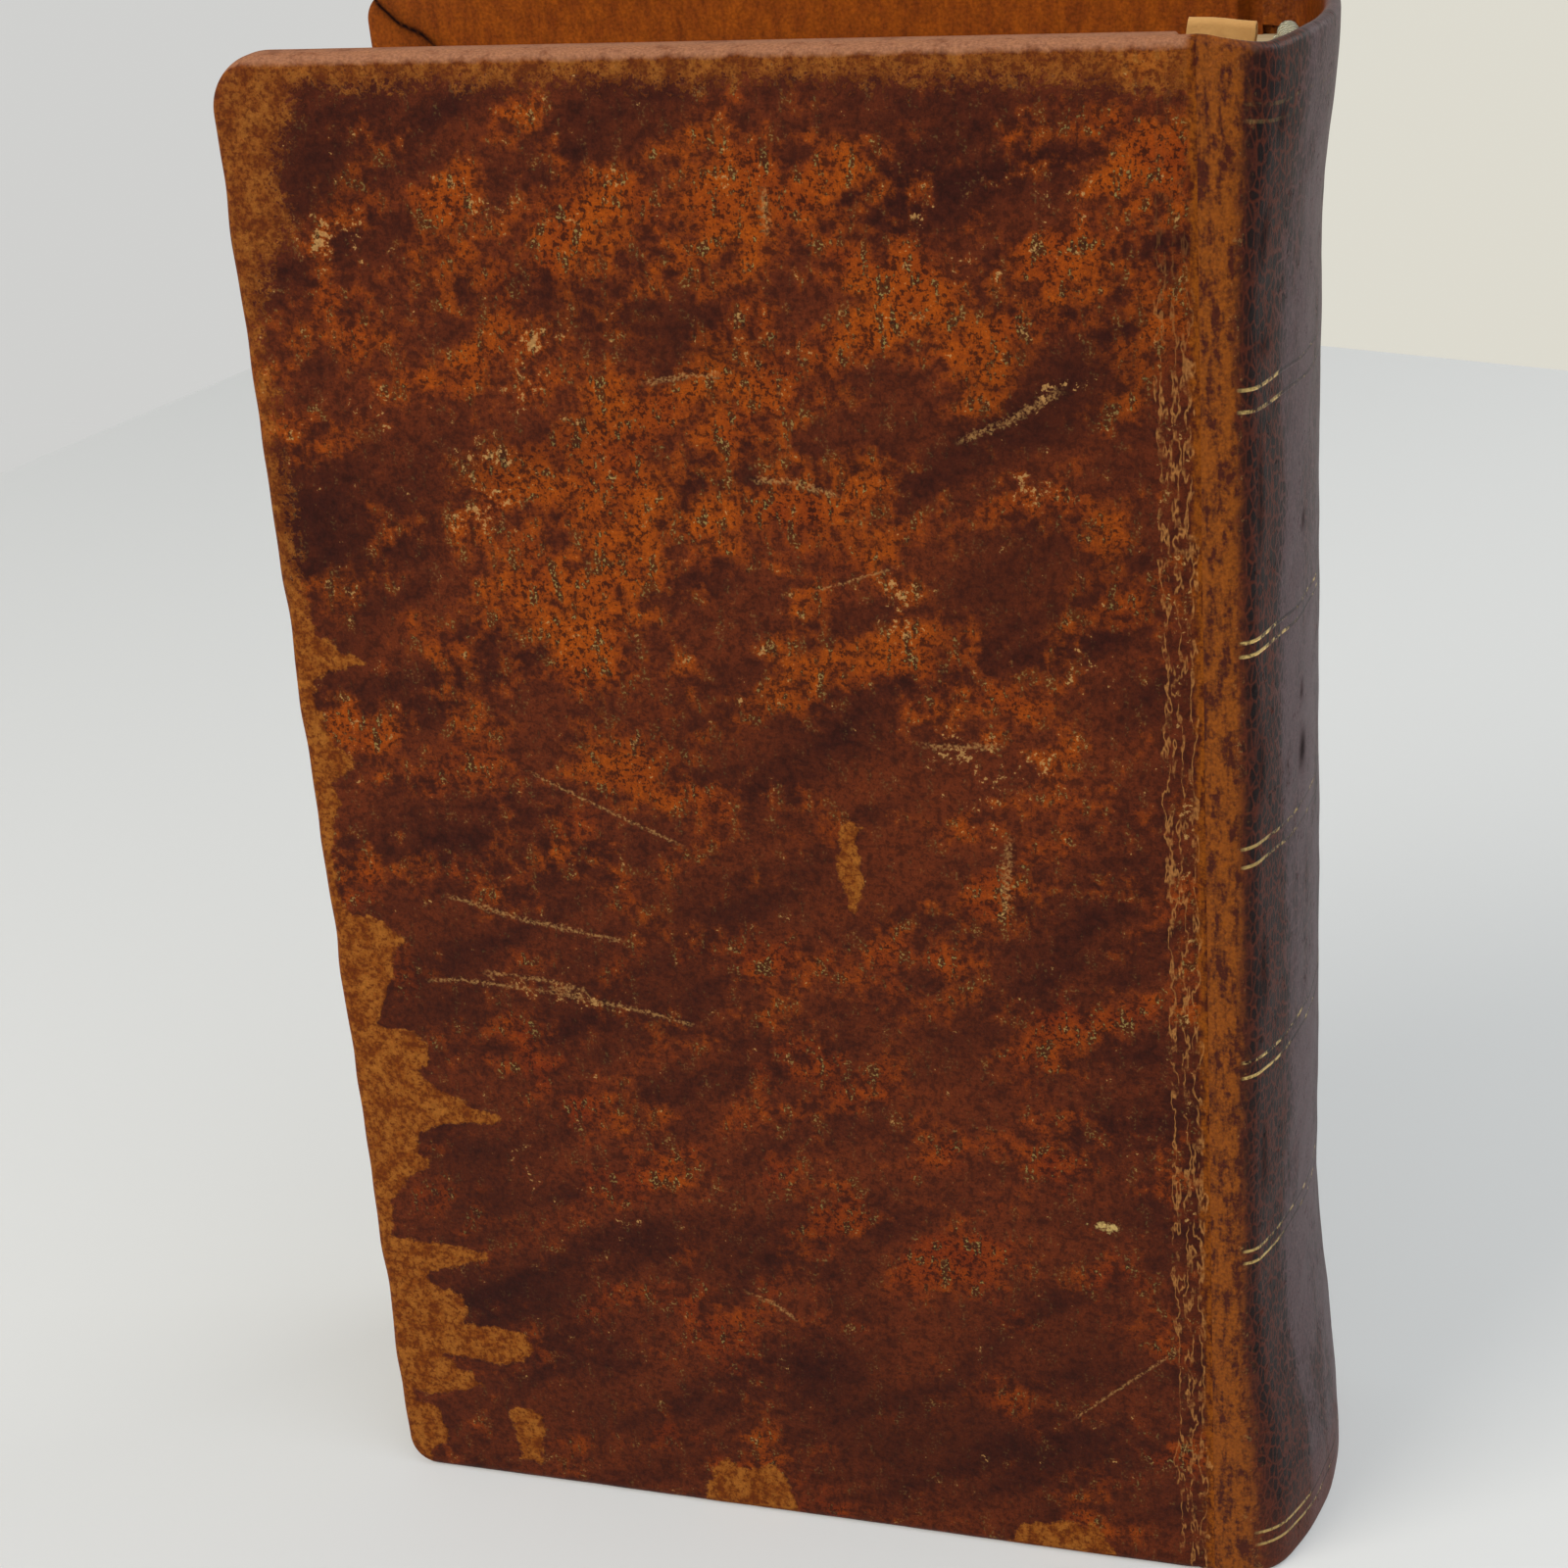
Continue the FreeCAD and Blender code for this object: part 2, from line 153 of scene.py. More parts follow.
def steps(*marks: tuple[float, float]) -> Grid:
    """Rising values with a pitch that changes along the way.

    Args:
        *marks: Places where the pitch changes, each with the rough pitch that follows it.

    Returns:
        The values from the first mark to the last.
    """
    values = []
    for (start, pitch), (end, _) in zip(marks, marks[1:]):
        count = max(1, round((end - start) / pitch))
        values.extend(start + (end - start) * i / count for i in range(count))
    return np.array(values + [marks[-1][0]])


def lattice_over(first: Grid, second: Grid, third: Grid) -> Grid:
    """Grid of points over two of three ranges, the other being a single value.

    Args:
        first: Values of the points' first number.
        second: Values of their second number.
        third: Values of their third number.

    Returns:
        Points of shape (rows, columns, 3).
    """
    mesh = np.stack(np.meshgrid(first, second, third, indexing="ij"), axis=-1)
    return mesh.reshape(*[n for n in mesh.shape[:3] if n > 1], 3)


def weld(patches: list[tuple[Grid, bool]]) -> tuple[Grid, Grid]:
    """Joins grids of points along their common edges.

    Args:
        patches: Grids of shape (rows, columns, 3), each with True where its faces are turned over.

    Returns:
        The points, and the faces as rows of four point numbers.
    """
    points, quads, start = [], [], 0
    for grid, turned in patches:
        rows, columns = grid.shape[:2]
        index = start + np.arange(rows * columns).reshape(rows, columns)
        quad = np.stack([index[:-1, :-1], index[1:, :-1], index[1:, 1:], index[:-1, 1:]], axis=-1)
        quads.append(quad.reshape(-1, 4)[:, ::-1] if turned else quad.reshape(-1, 4))
        points.append(grid.reshape(-1, 3))
        start += rows * columns
    stacked = np.vstack(points)
    _, first, number = np.unique(np.round(stacked, 4), axis=0, return_index=True, return_inverse=True)
    return stacked[first], number.reshape(-1)[np.vstack(quads)]


def thickened(outer: Grid, inner: Grid, quads: Grid) -> tuple[Grid, Grid]:
    """Closes a sheet given by its outer and inner surfaces, with a rim along its open edges.

    Args:
        outer: Points of the outer surface.
        inner: The matching points of the inner surface.
        quads: Faces of the outer surface.

    Returns:
        Points and faces of the closed sheet.
    """
    count = len(outer)
    edges = np.concatenate([quads[:, [i, (i + 1) % 4]] for i in range(4)])
    key = edges.min(axis=1).astype(np.int64) * count + edges.max(axis=1)
    _, first, times = np.unique(key, return_index=True, return_counts=True)
    rim = edges[first[times == 1]]
    walls = np.column_stack([rim[:, 1], rim[:, 0], rim[:, 0] + count, rim[:, 1] + count])
    return np.vstack([outer, inner]), np.vstack([quads, quads[:, ::-1] + count, walls])


def both_layers(marks: dict[str, Grid]) -> dict[str, Grid]:
    """The same marks for the outer and for the inner points of a closed sheet."""
    return {name: np.concatenate([values, values]) for name, values in marks.items()}


def put(name: str, data: bpy.types.ID) -> bpy.types.Object:
    """A new object that shows the given data in the scene.

    Args:
        name: Its name.
        data: A mesh, curve, lamp or camera.

    Returns:
        The object.
    """
    piece = bpy.data.objects.new(name, data)
    bpy.context.scene.collection.objects.link(piece)
    return piece


def make_piece(name: str, points: Grid, faces: Grid, marks: dict[str, Grid] | None = None,
               sharp_angle: float = 50.0) -> bpy.types.Object:
    """Makes a smooth-shaded piece from points in millimetres.

    Args:
        name: Name of the piece.
        points: Its points, one per row.
        faces: Its faces, rows of point numbers.
        marks: Values per point that its finish reads, by name.
        sharp_angle: Faces that meet at more than this many degrees keep a crisp edge.

    Returns:
        The new object, at the origin.
    """
    data = bpy.data.meshes.new(name)
    data.from_pydata((points * MM).tolist(), [], faces.tolist())
    data.shade_smooth()
    data.set_sharp_from_angle(angle=math.radians(sharp_angle))
    for mark, values in (marks or {}).items():
        kind, key = ("FLOAT", "value") if values.ndim == 1 else ("FLOAT_VECTOR", "vector")
        attribute = data.attributes.new(mark, kind, "POINT")
        attribute.data.foreach_set(key, values.astype(np.float32).ravel())
    return put(name, data)


def linear(colour: str) -> tuple[float, float, float, float]:
    """An sRGB hex colour as linear red, green, blue and alpha."""
    values = [int(colour[i:i + 2], 16) / 255 for i in (1, 3, 5)]
    red, green, blue = [v / 12.92 if v <= 0.04045 else ((v + 0.055) / 1.055) ** 2.4 for v in values]
    return red, green, blue, 1.0


def add(tree: bpy.types.NodeTree, kind: str, inputs: dict | None = None, output: int | str = 0,
        **settings: object) -> Socket:
    """Adds one node to a tree.

    Args:
        tree: The tree.
        kind: Type of the node.
        inputs: Values or sockets for its inputs, by name or number. Text is a hex colour.
        output: The output to return, by name or number.
        **settings: Properties of the node.

    Returns:
        The chosen output socket of the new node.
    """
    node = tree.nodes.new(kind)
    for name, value in settings.items():
        setattr(node, name, value)
    for name, value in (inputs or {}).items():
        if isinstance(value, Socket):
            tree.links.new(value, node.inputs[name])
        else:
            node.inputs[name].default_value = linear(value) if isinstance(value, str) else value
    return node.outputs[output] if node.outputs else node.inputs[0]


class Finish:
    """A finish that becomes a material, with every pattern worked out from real sizes."""

    @staticmethod
    def place(tree: bpy.types.NodeTree) -> Socket:
        """Place on the piece in millimetres, from its Object coordinates."""
        metres = add(tree, "ShaderNodeTexCoord", output="Object")
        return add(tree, "ShaderNodeVectorMath", {0: metres, 3: 1 / MM}, operation="SCALE")

    def look(self, tree: bpy.types.NodeTree) -> Socket:
        """Adds the finish's nodes to an empty tree and gives its shader."""
        raise NotImplementedError

    def build(self, name: str) -> bpy.types.Material:
        """Makes the material.

        Args:
            name: Its name.

        Returns:
            The material.
        """
        material = bpy.data.materials.new(name)
        material.use_nodes = True
        tree = material.node_tree
        tree.nodes.clear()
        add(tree, "ShaderNodeOutputMaterial", {"Surface": self.look(tree)})
        return material


@dataclass(frozen=True)
class Blot:
    """A soft oval mark on a cover, in millimetres on its face."""

    x: float
    z: float
    length: float
    height: float
    tilt: float = 0.0
    strength: float = 1.0


def blots(*rows: tuple[float, ...]) -> tuple[Blot, ...]:
    """Ovals from rows of their values: x, z, length, height, tilt and strength."""
    return tuple(Blot(*row) for row in rows)


@dataclass(frozen=True)
class Scratch:
    """A scratch on a cover through a few points of its face, in millimetres."""

    points: tuple[tuple[float, float], ...]
    width: float = 1.0


@dataclass(frozen=True)
class CoverMarks:
    """What age and use have left on one cover, placed on its face."""

    losses: tuple[tuple[tuple[float, float], ...], ...]
    islands: tuple[Blot, ...]
    shades: tuple[Blot, ...]
    scuffs: tuple[Blot, ...]
    scratches: tuple[Scratch, ...]
    gold: tuple[Blot, ...] = ()

    @staticmethod
    def coverage(blots: tuple[Blot, ...], x: Grid, z: Grid) -> Grid:
        """Soft sum of ovals at places of the face.

        Args:
            blots: The ovals.
            x: Places along the cover.
            z: Heights.

        Returns:
            Values from 0 to 1.
        """
        left = np.ones(len(x))
        for b in blots:
            c, s = math.cos(math.radians(b.tilt)), math.sin(math.radians(b.tilt))
            along = ((x - b.x) * c + (z - b.z) * s) / b.length
            across = ((z - b.z) * c - (x - b.x) * s) / b.height
            left *= 1 - b.strength * np.exp(-(along ** 2 + across ** 2))
        return 1 - left

    def loss_depth(self, x: Grid, z: Grid) -> Grid:
        """How far inside a worn patch each place lies.

        Args:
            x: Places along the cover.
            z: Heights.

        Returns:
            Depths in millimetres, negative outside, from -6 to 6.
        """
        best = np.full(len(x), -6.0)
        for outline in self.losses:
            inside = np.zeros(len(x), bool)
            reach = np.full(len(x), 1e9)
            for (x0, z0), (x1, z1) in zip(outline, outline[1:] + outline[:1]):
                dx, dz = x1 - x0, z1 - z0
                t = np.clip(((x - x0) * dx + (z - z0) * dz) / (dx * dx + dz * dz), 0, 1)
                reach = np.minimum(reach, np.hypot(x - x0 - t * dx, z - z0 - t * dz))
                if dz:
                    crosses = ((z0 > z) != (z1 > z)) & (x < (z - z0) / dz * dx + x0)
                    inside ^= crosses
            best = np.maximum(best, np.where(inside, reach, -reach))
        return np.clip(best, -6.0, 6.0)

    def scratch_side(self, x: Grid, z: Grid) -> tuple[Grid, Grid]:
        """Which side of the nearest scratch each place lies on.

        Args:
            x: Places along the cover.
            z: Heights.

        Returns:
            Signed distances in units of the scratch's width, and from 0 to 1 how near it is.
        """
        side = np.full(len(x), 9.0)
        near = np.zeros(len(x))
        nearest = np.full(len(x), 1e9)
        for scratch in self.scratches:
            for (x0, z0), (x1, z1) in zip(scratch.points, scratch.points[1:]):
                dx, dz = x1 - x0, z1 - z0
                length = math.hypot(dx, dz)
                along = ((x - x0) * dx + (z - z0) * dz) / length
                across = ((z - z0) * dx - (x - x0) * dz) / length
                t = np.clip(along, 0, length)
                distance = np.hypot(x - x0 - t * dx / length, z - z0 - t * dz / length)
                closer = distance < nearest
                nearest = np.where(closer, distance, nearest)
                side = np.where(closer, across / scratch.width, side)
                past = np.maximum(-along, along - length)
                shown = (1 - smooth(distance, 0.8, 2.2)) * (1 - smooth(past, -0.5, 0.9))
                near = np.where(closer, shown, near)
        return side, near


BACK_MARKS = CoverMarks(
    losses=(
        ((-60, 182), (-47.0, 182), (-47.5, 176.5), (-48.6, 173.5), (-50.3, 170.5), (-51.5, 166.5),
         (-50.0, 163.5), (-51.0, 160.0), (-53.8, 157.5), (-55.0, 153.0), (-56.0, 149.0), (-54.8, 143.6),
         (-56.0, 138.0), (-54.9, 132.4), (-55.6, 125.4), (-54.9, 119.6), (-54.4, 115.5), (-51.8, 113.6),
         (-48.8, 112.1), (-52.2, 110.9), (-55.5, 109.8), (-55.4, 106.4), (-54.4, 102.2), (-51.7, 99.9),
         (-53.2, 97.9), (-55.2, 96.8), (-54.1, 93.9), (-55.6, 92.2), (-56.5, 87.7), (-56.4, 83.8),
         (-55.8, 80.0), (-51.7, 79.3), (-48.6, 77.4), (-50.6, 73.3), (-50.8, 71.3), (-52.4, 67.8),
         (-53.9, 64.9), (-49.2, 64.7), (-47.5, 63.1), (-47.7, 60.1), (-49.4, 58.6), (-46.9, 57.2),
         (-43.8, 55.5), (-41.1, 54.1), (-38.0, 52.9), (-40.9, 52.4), (-44.2, 52.4), (-48.5, 51.1),
         (-50.8, 49.3), (-50.5, 47.1), (-48.7, 46.0), (-49.7, 45.0), (-52.3, 44.0), (-53.5, 41.4),
         (-55.2, 40.3), (-55.4, 37.6), (-56.4, 34.6), (-47.3, 34.4), (-42.9, 33.8), (-43.3, 32.9),
         (-47.7, 31.4), (-51.2, 30.1), (-51.6, 28.6), (-49.4, 27.5), (-46.7, 27.2), (-47.2, 24.8),
         (-47.9, 22.8), (-42.7, 23.0), (-39.7, 22.3), (-38.0, 20.4), (-40.1, 18.2), (-43.0, 17.1),
         (-47.3, 17.5), (-51.1, 17.9), (-49.6, 16.5), (-46.8, 14.5), (-45.8, 13.4), (-48.3, 12.6),
         (-51.5, 11.6), (-56.0, 11.6), (-56.0, 10.4), (-53.0, 9.5), (-52.1, 6.4), (-51.9, 4.3),
         (-54.7, 2.6), (-54.0, -2.0), (-60, -2)),
        ((-60, 176.4), (-47.6, 177.1), (-41.0, 176.2), (-34.3, 176.8), (-25.6, 176.2), (-14.9, 176.7),
         (-4.4, 176.0), (5.9, 176.6), (15.9, 176.0), (25.7, 176.1), (35.3, 175.6), (44.8, 174.6),
         (48, 174.6), (48, 182), (-60, 182)),
        ((-43.0, 10.2), (-41.2, 11.2), (-38.2, 10.7), (-38.6, 6.1), (-39.6, 2.5), (-42.1, 3.1),
         (-42.5, 7.4)),
        ((-18.0, -2.0), (-17.1, 1.6), (-16.0, 5.3), (-13.9, 8.3), (-13.1, 6.2), (-11.2, 6.1), (-9.8, 7.2),
         (-7.6, 6.9), (-6.0, 4.8), (-5.5, 1.9), (-4.0, -2.0)),
        ((20, -2), (21.6, 0.3), (23.0, 3.3), (27.8, 4.6), (32.6, 4.9), (34.4, 1.7), (36, -2)),
        ((6.4, 95.2), (7.6, 96.3), (8.7, 95.7), (8.0, 92.3), (8.5, 88.7), (7.6, 85.0), (6.6, 84.2),
         (6.2, 87.9), (5.5, 90.9)),
    ),
    islands=blots(
        (-14, 160, 16, 6, 10, 0.8), (-38, 164, 10, 5, 0, 0.5), (-46, 152, 7, 7, 0, 0.6),
        (-30, 149, 8, 5, 20, 0.7), (-4, 162, 12, 8, 0, 0.8), (10, 160, 10, 7, 0, 0.9),
        (20, 152, 9, 7, -20, 0.9), (35, 157, 9, 7, 0, 0.6), (40, 165, 7, 12, 0, 0.8),
        (-3, 143, 13, 6, 15, 0.9), (-16, 141, 8, 5, 0, 0.7), (5, 133, 9, 5, 20, 0.8),
        (-18, 127, 11, 8, -10, 1.0), (-8, 133, 8, 5, 0, 0.7), (-27, 122, 8, 7, 0, 0.9),
        (-36, 112, 9, 7, 0, 0.7), (-22, 113, 8, 5, 0, 0.8), (15, 128, 8, 4, 25, 0.5),
        (22, 119, 8, 4, 25, 0.5), (8, 114, 10, 4, 25, 0.7), (-20, 101, 9, 5, 0, 0.8),
        (-31, 91, 9, 5, 0, 0.6), (-12, 96, 7, 4, 0, 0.4), (27, 111, 4, 3, 0, 0.7), (33, 97, 6, 5, 0, 0.5),
        (17, 81, 8, 4, 0, 0.6), (25, 88, 6, 5, 0, 0.5), (0, 68, 8, 5, 0, 0.5), (-32, 62, 12, 5, 20, 0.6),
        (-16, 49, 9, 4, 20, 0.4), (8, 45, 11, 4, 15, 0.6), (26, 55, 9, 5, 0, 0.6), (34, 71, 7, 6, 0, 0.6),
        (-27, 34, 7, 4, 0, 0.3), (-39, 85, 8, 5, 0, 0.4), (-20, 57, 9, 4, 20, 0.5),
        (-5, 75, 8, 4, 20, 0.5), (7, 61, 9, 4, 15, 0.5), (20, 40, 10, 4, 15, 0.4), (-7, 31, 8, 4, 0, 0.3),
        (38, 45, 6, 8, 0, 0.4), (-46, 100, 5, 8, 0, 0.4), (38, 130, 6, 10, 0, 0.3),
        (-46, 136, 5, 8, 0, 0.6),
    ),
    shades=blots(
        (-44, 72, 7, 7, 0, 0.7), (-44, 44, 8, 8, 0, 0.6), (-38, 28, 10, 6, 0, 0.6),
        (-47, 168, 7, 5, 0, 0.7), (-50, 122, 4, 8, 0, 0.5), (-30, 12, 12, 6, 0, 0.5),
        (20, 14, 20, 7, 0, 0.5), (2, 20, 14, 6, 0, 0.4), (-12, 152, 20, 3, -14, 0.5),
        (34, 146, 12, 6, 25, 0.5), (-8, 106, 16, 6, 10, 0.35), (30, 125, 12, 6, 10, 0.5),
        (-30, 136, 14, 3, 20, 0.5), (-10, 84, 18, 5, 8, 0.35), (16, 70, 14, 4, 10, 0.3),
        (-22, 74, 14, 4, 10, 0.35), (30, 32, 12, 6, 0, 0.4), (-8, 40, 14, 4, 20, 0.4),
    ),
    scuffs=blots(
        (-45.6, 160.5, 4, 3, 0, 0.9), (-26.7, 163.1, 3, 2.5, 0, 0.8), (-23.7, 150, 4, 3, 0, 0.9),
        (-44.7, 142.1, 4, 3, 0, 0.7), (-31.2, 130.2, 4, 3, 0, 0.9), (29.5, 134.8, 3, 3, 0, 0.8),
        (14.4, 122.0, 2.5, 4.5, 0, 1.0), (34.6, 114.6, 4, 3, 0, 0.6), (28.9, 103, 6, 3, 20, 0.8),
        (-25, 144.1, 4, 3, 0, 0.8), (-31.9, 138, 4, 3, 0, 0.7), (31.9, 145.2, 4, 2, 25, 0.9),
        (20.4, 105.6, 4.2, 2.4, 0, 1.0), (22.5, 99.0, 3.0, 4.0, 0, 0.7), (2, 148, 5, 4, 0, 0.5),
        (24, 157, 6, 5, 0, 0.5), (-36, 48, 4, 4, 0, 0.5), (-24, 40, 5, 3, 0, 0.5),
        (-28, 71, 10, 2.2, -4, 0.8), (44.5, 110, 1.5, 60, 0, 0.5), (18.4, 163.4, 1.6, 3, 0, 0.9),
        (34, 164, 6, 6, 0, 0.5), (-3, 113, 5, 3, 0, 0.4),
    ),
    scratches=(
        Scratch(((-29.5, 99.4), (-23.2, 96.4), (-13.1, 92.0)), 0.8),
        Scratch(((-41.8, 83.0), (-33.4, 80.8), (-21.4, 78.9)), 1.2),
        Scratch(((-45.8, 71.7), (-41.9, 72.1), (-30.8, 71.5), (-21.1, 70.3), (-13.4, 68.8)), 1.0),
        Scratch(((-38.2, 73.4), (-31.0, 73.0), (-26.0, 72.0)), 1.0),
        Scratch(((-0.4, 135.0), (3.9, 134.9), (8.1, 133.6)), 1.3),
        Scratch(((-11.5, 145.4), (-7.1, 146.2), (-3.8, 146.3)), 1.2),
        Scratch(((22.1, 139.8), (27.3, 142.0), (32.4, 145.2)), 1.5),
        Scratch(((-9.1, 32.4), (-6.1, 31.4), (-3.7, 29.6)), 1.0),
        Scratch(((30.7, 20.4), (36.7, 25.9), (42.5, 31.1)), 0.7),
        Scratch(((25.4, 94.7), (24.9, 90.0), (24.7, 86.4)), 2.0),
        Scratch(((2.9, 165.4), (2.8, 161.4)), 1.8),
        Scratch(((16.8, 105.6), (24.3, 105.9)), 1.4),
        Scratch(((6.0, 123.0), (13.5, 125.5)), 0.6),
    ),
    gold=blots((34.9, 46.9, 2.2, 1.0, 0, 1.0), (30.6, 47.4, 2.6, 0.6, 0, 0.7),
               (-47.4, 59.0, 0.5, 0.5, 0, 0.7)),
)

FRONT_MARKS = CoverMarks(
    losses=(
        ((-60, 182), (-53.0, 182), (-53.2, 176.0), (-54.8, 168.0), (-54.2, 160.0), (-55.9, 150.0),
         (-55.0, 139.0), (-56.2, 126.0), (-55.2, 117.0), (-51.0, 114.5), (-55.0, 112.0), (-56.3, 96.0),
         (-55.6, 84.0), (-53.0, 80.5), (-48.0, 79.0), (-53.6, 76.0), (-55.8, 66.0), (-55.0, 50.0),
         (-51.6, 44.0), (-47.2, 42.6), (-52.4, 39.5), (-55.6, 33.0), (-54.4, 24.0), (-49.0, 21.0),
         (-44.6, 16.4), (-50.0, 15.4), (-52.6, 9.0), (-50.0, 5.0), (-48.0, -2.0), (-60, -2)),
        ((-60, 176.6), (-44.0, 177.0), (-30.0, 176.3), (-12.0, 176.9), (4.0, 176.2), (20.0, 176.8),
         (36.0, 175.9), (48, 175.4), (48, 182), (-60, 182)),
        ((-31.0, -2.0), (-29.0, 3.4), (-26.4, 6.3), (-24.8, 4.6), (-21.4, 5.2), (-19.6, 1.4),
         (-18.0, -2.0)),
        ((12.0, -2), (14.0, 2.4), (19.0, 3.6), (24.6, 2.6), (27.0, -2)),
    ),
    islands=blots(
        (-30, 158, 14, 8, -15, 0.9), (4, 160, 12, 7, 10, 0.8), (30, 150, 12, 8, 20, 0.8),
        (-16, 140, 14, 7, 15, 0.9), (-40, 132, 8, 9, 0, 0.8), (16, 134, 11, 6, 20, 0.7),
        (-24, 116, 13, 8, 0, 0.9), (6, 112, 11, 7, 20, 0.8), (34, 118, 8, 8, 0, 0.5),
        (-42, 98, 8, 7, 0, 0.6), (-12, 94, 10, 5, 10, 0.7), (20, 90, 12, 6, 15, 0.7),
        (-30, 76, 12, 5, 20, 0.6), (2, 70, 12, 6, 15, 0.6), (32, 66, 8, 8, 0, 0.6),
        (-20, 54, 11, 5, 20, 0.6), (14, 48, 12, 5, 15, 0.6), (-36, 38, 9, 6, 0, 0.5),
        (-6, 32, 10, 5, 0, 0.4), (26, 28, 10, 6, 15, 0.5), (-20, 16, 12, 5, 0, 0.4),
    ),
    shades=blots(
        (-46, 64, 7, 9, 0, 0.6), (-44, 26, 8, 8, 0, 0.6), (-2, 126, 18, 4, 15, 0.5),
        (26, 104, 14, 4, 15, 0.5), (-20, 84, 18, 4, 12, 0.4), (14, 14, 20, 7, 0, 0.5),
        (34, 168, 10, 6, 0, 0.5), (-46, 166, 7, 6, 0, 0.6), (10, 60, 16, 4, 12, 0.4),
    ),
    scuffs=blots(
        (-30, 150, 5, 3, 0, 0.8), (10, 140, 4, 3, 0, 0.7), (-8, 118, 5, 4, 0, 0.7),
        (24, 124, 4, 3, 0, 0.8), (-36, 104, 4, 3, 0, 0.6), (16, 78, 4, 4, 0, 0.8), (-24, 62, 5, 3, 0, 0.6),
        (30, 44, 4, 4, 0, 0.6), (44.5, 90, 1.5, 70, 0, 0.5),
    ),
    scratches=(
        Scratch(((-34.0, 128.0), (-26.0, 124.0), (-18.0, 121.5)), 0.9),
        Scratch(((6.0, 98.0), (14.0, 102.0), (20.0, 107.0)), 1.1),
        Scratch(((-20.0, 46.0), (-8.0, 44.5), (2.0, 41.0)), 1.0),
        Scratch(((24.0, 162.0), (29.0, 155.0)), 0.8),
    ),
)


@dataclass(frozen=True)
class GiltFillet:
    """A pair of gilt lines across the spine, by the heights of its lines in millimetres."""

    upper: float
    lower: float
    strength: float


@dataclass(frozen=True)
class Grain:
    """Patterns that all parts of the leather's finish share, as sockets of its tree."""

    past: Socket  # distance past the hinge line towards the spine, in millimetres
    height: Socket
    blotch: Socket  # cloudy, 2 mm
    crumb: Socket  # 0.7 mm
    pore: Socket  # 0.3 mm
    upright: tuple[Socket, Socket, Socket]  # three patterns drawn out along the height
    net: Socket  # distance from the cracks of a net with 0.8 mm by 1.6 mm cells


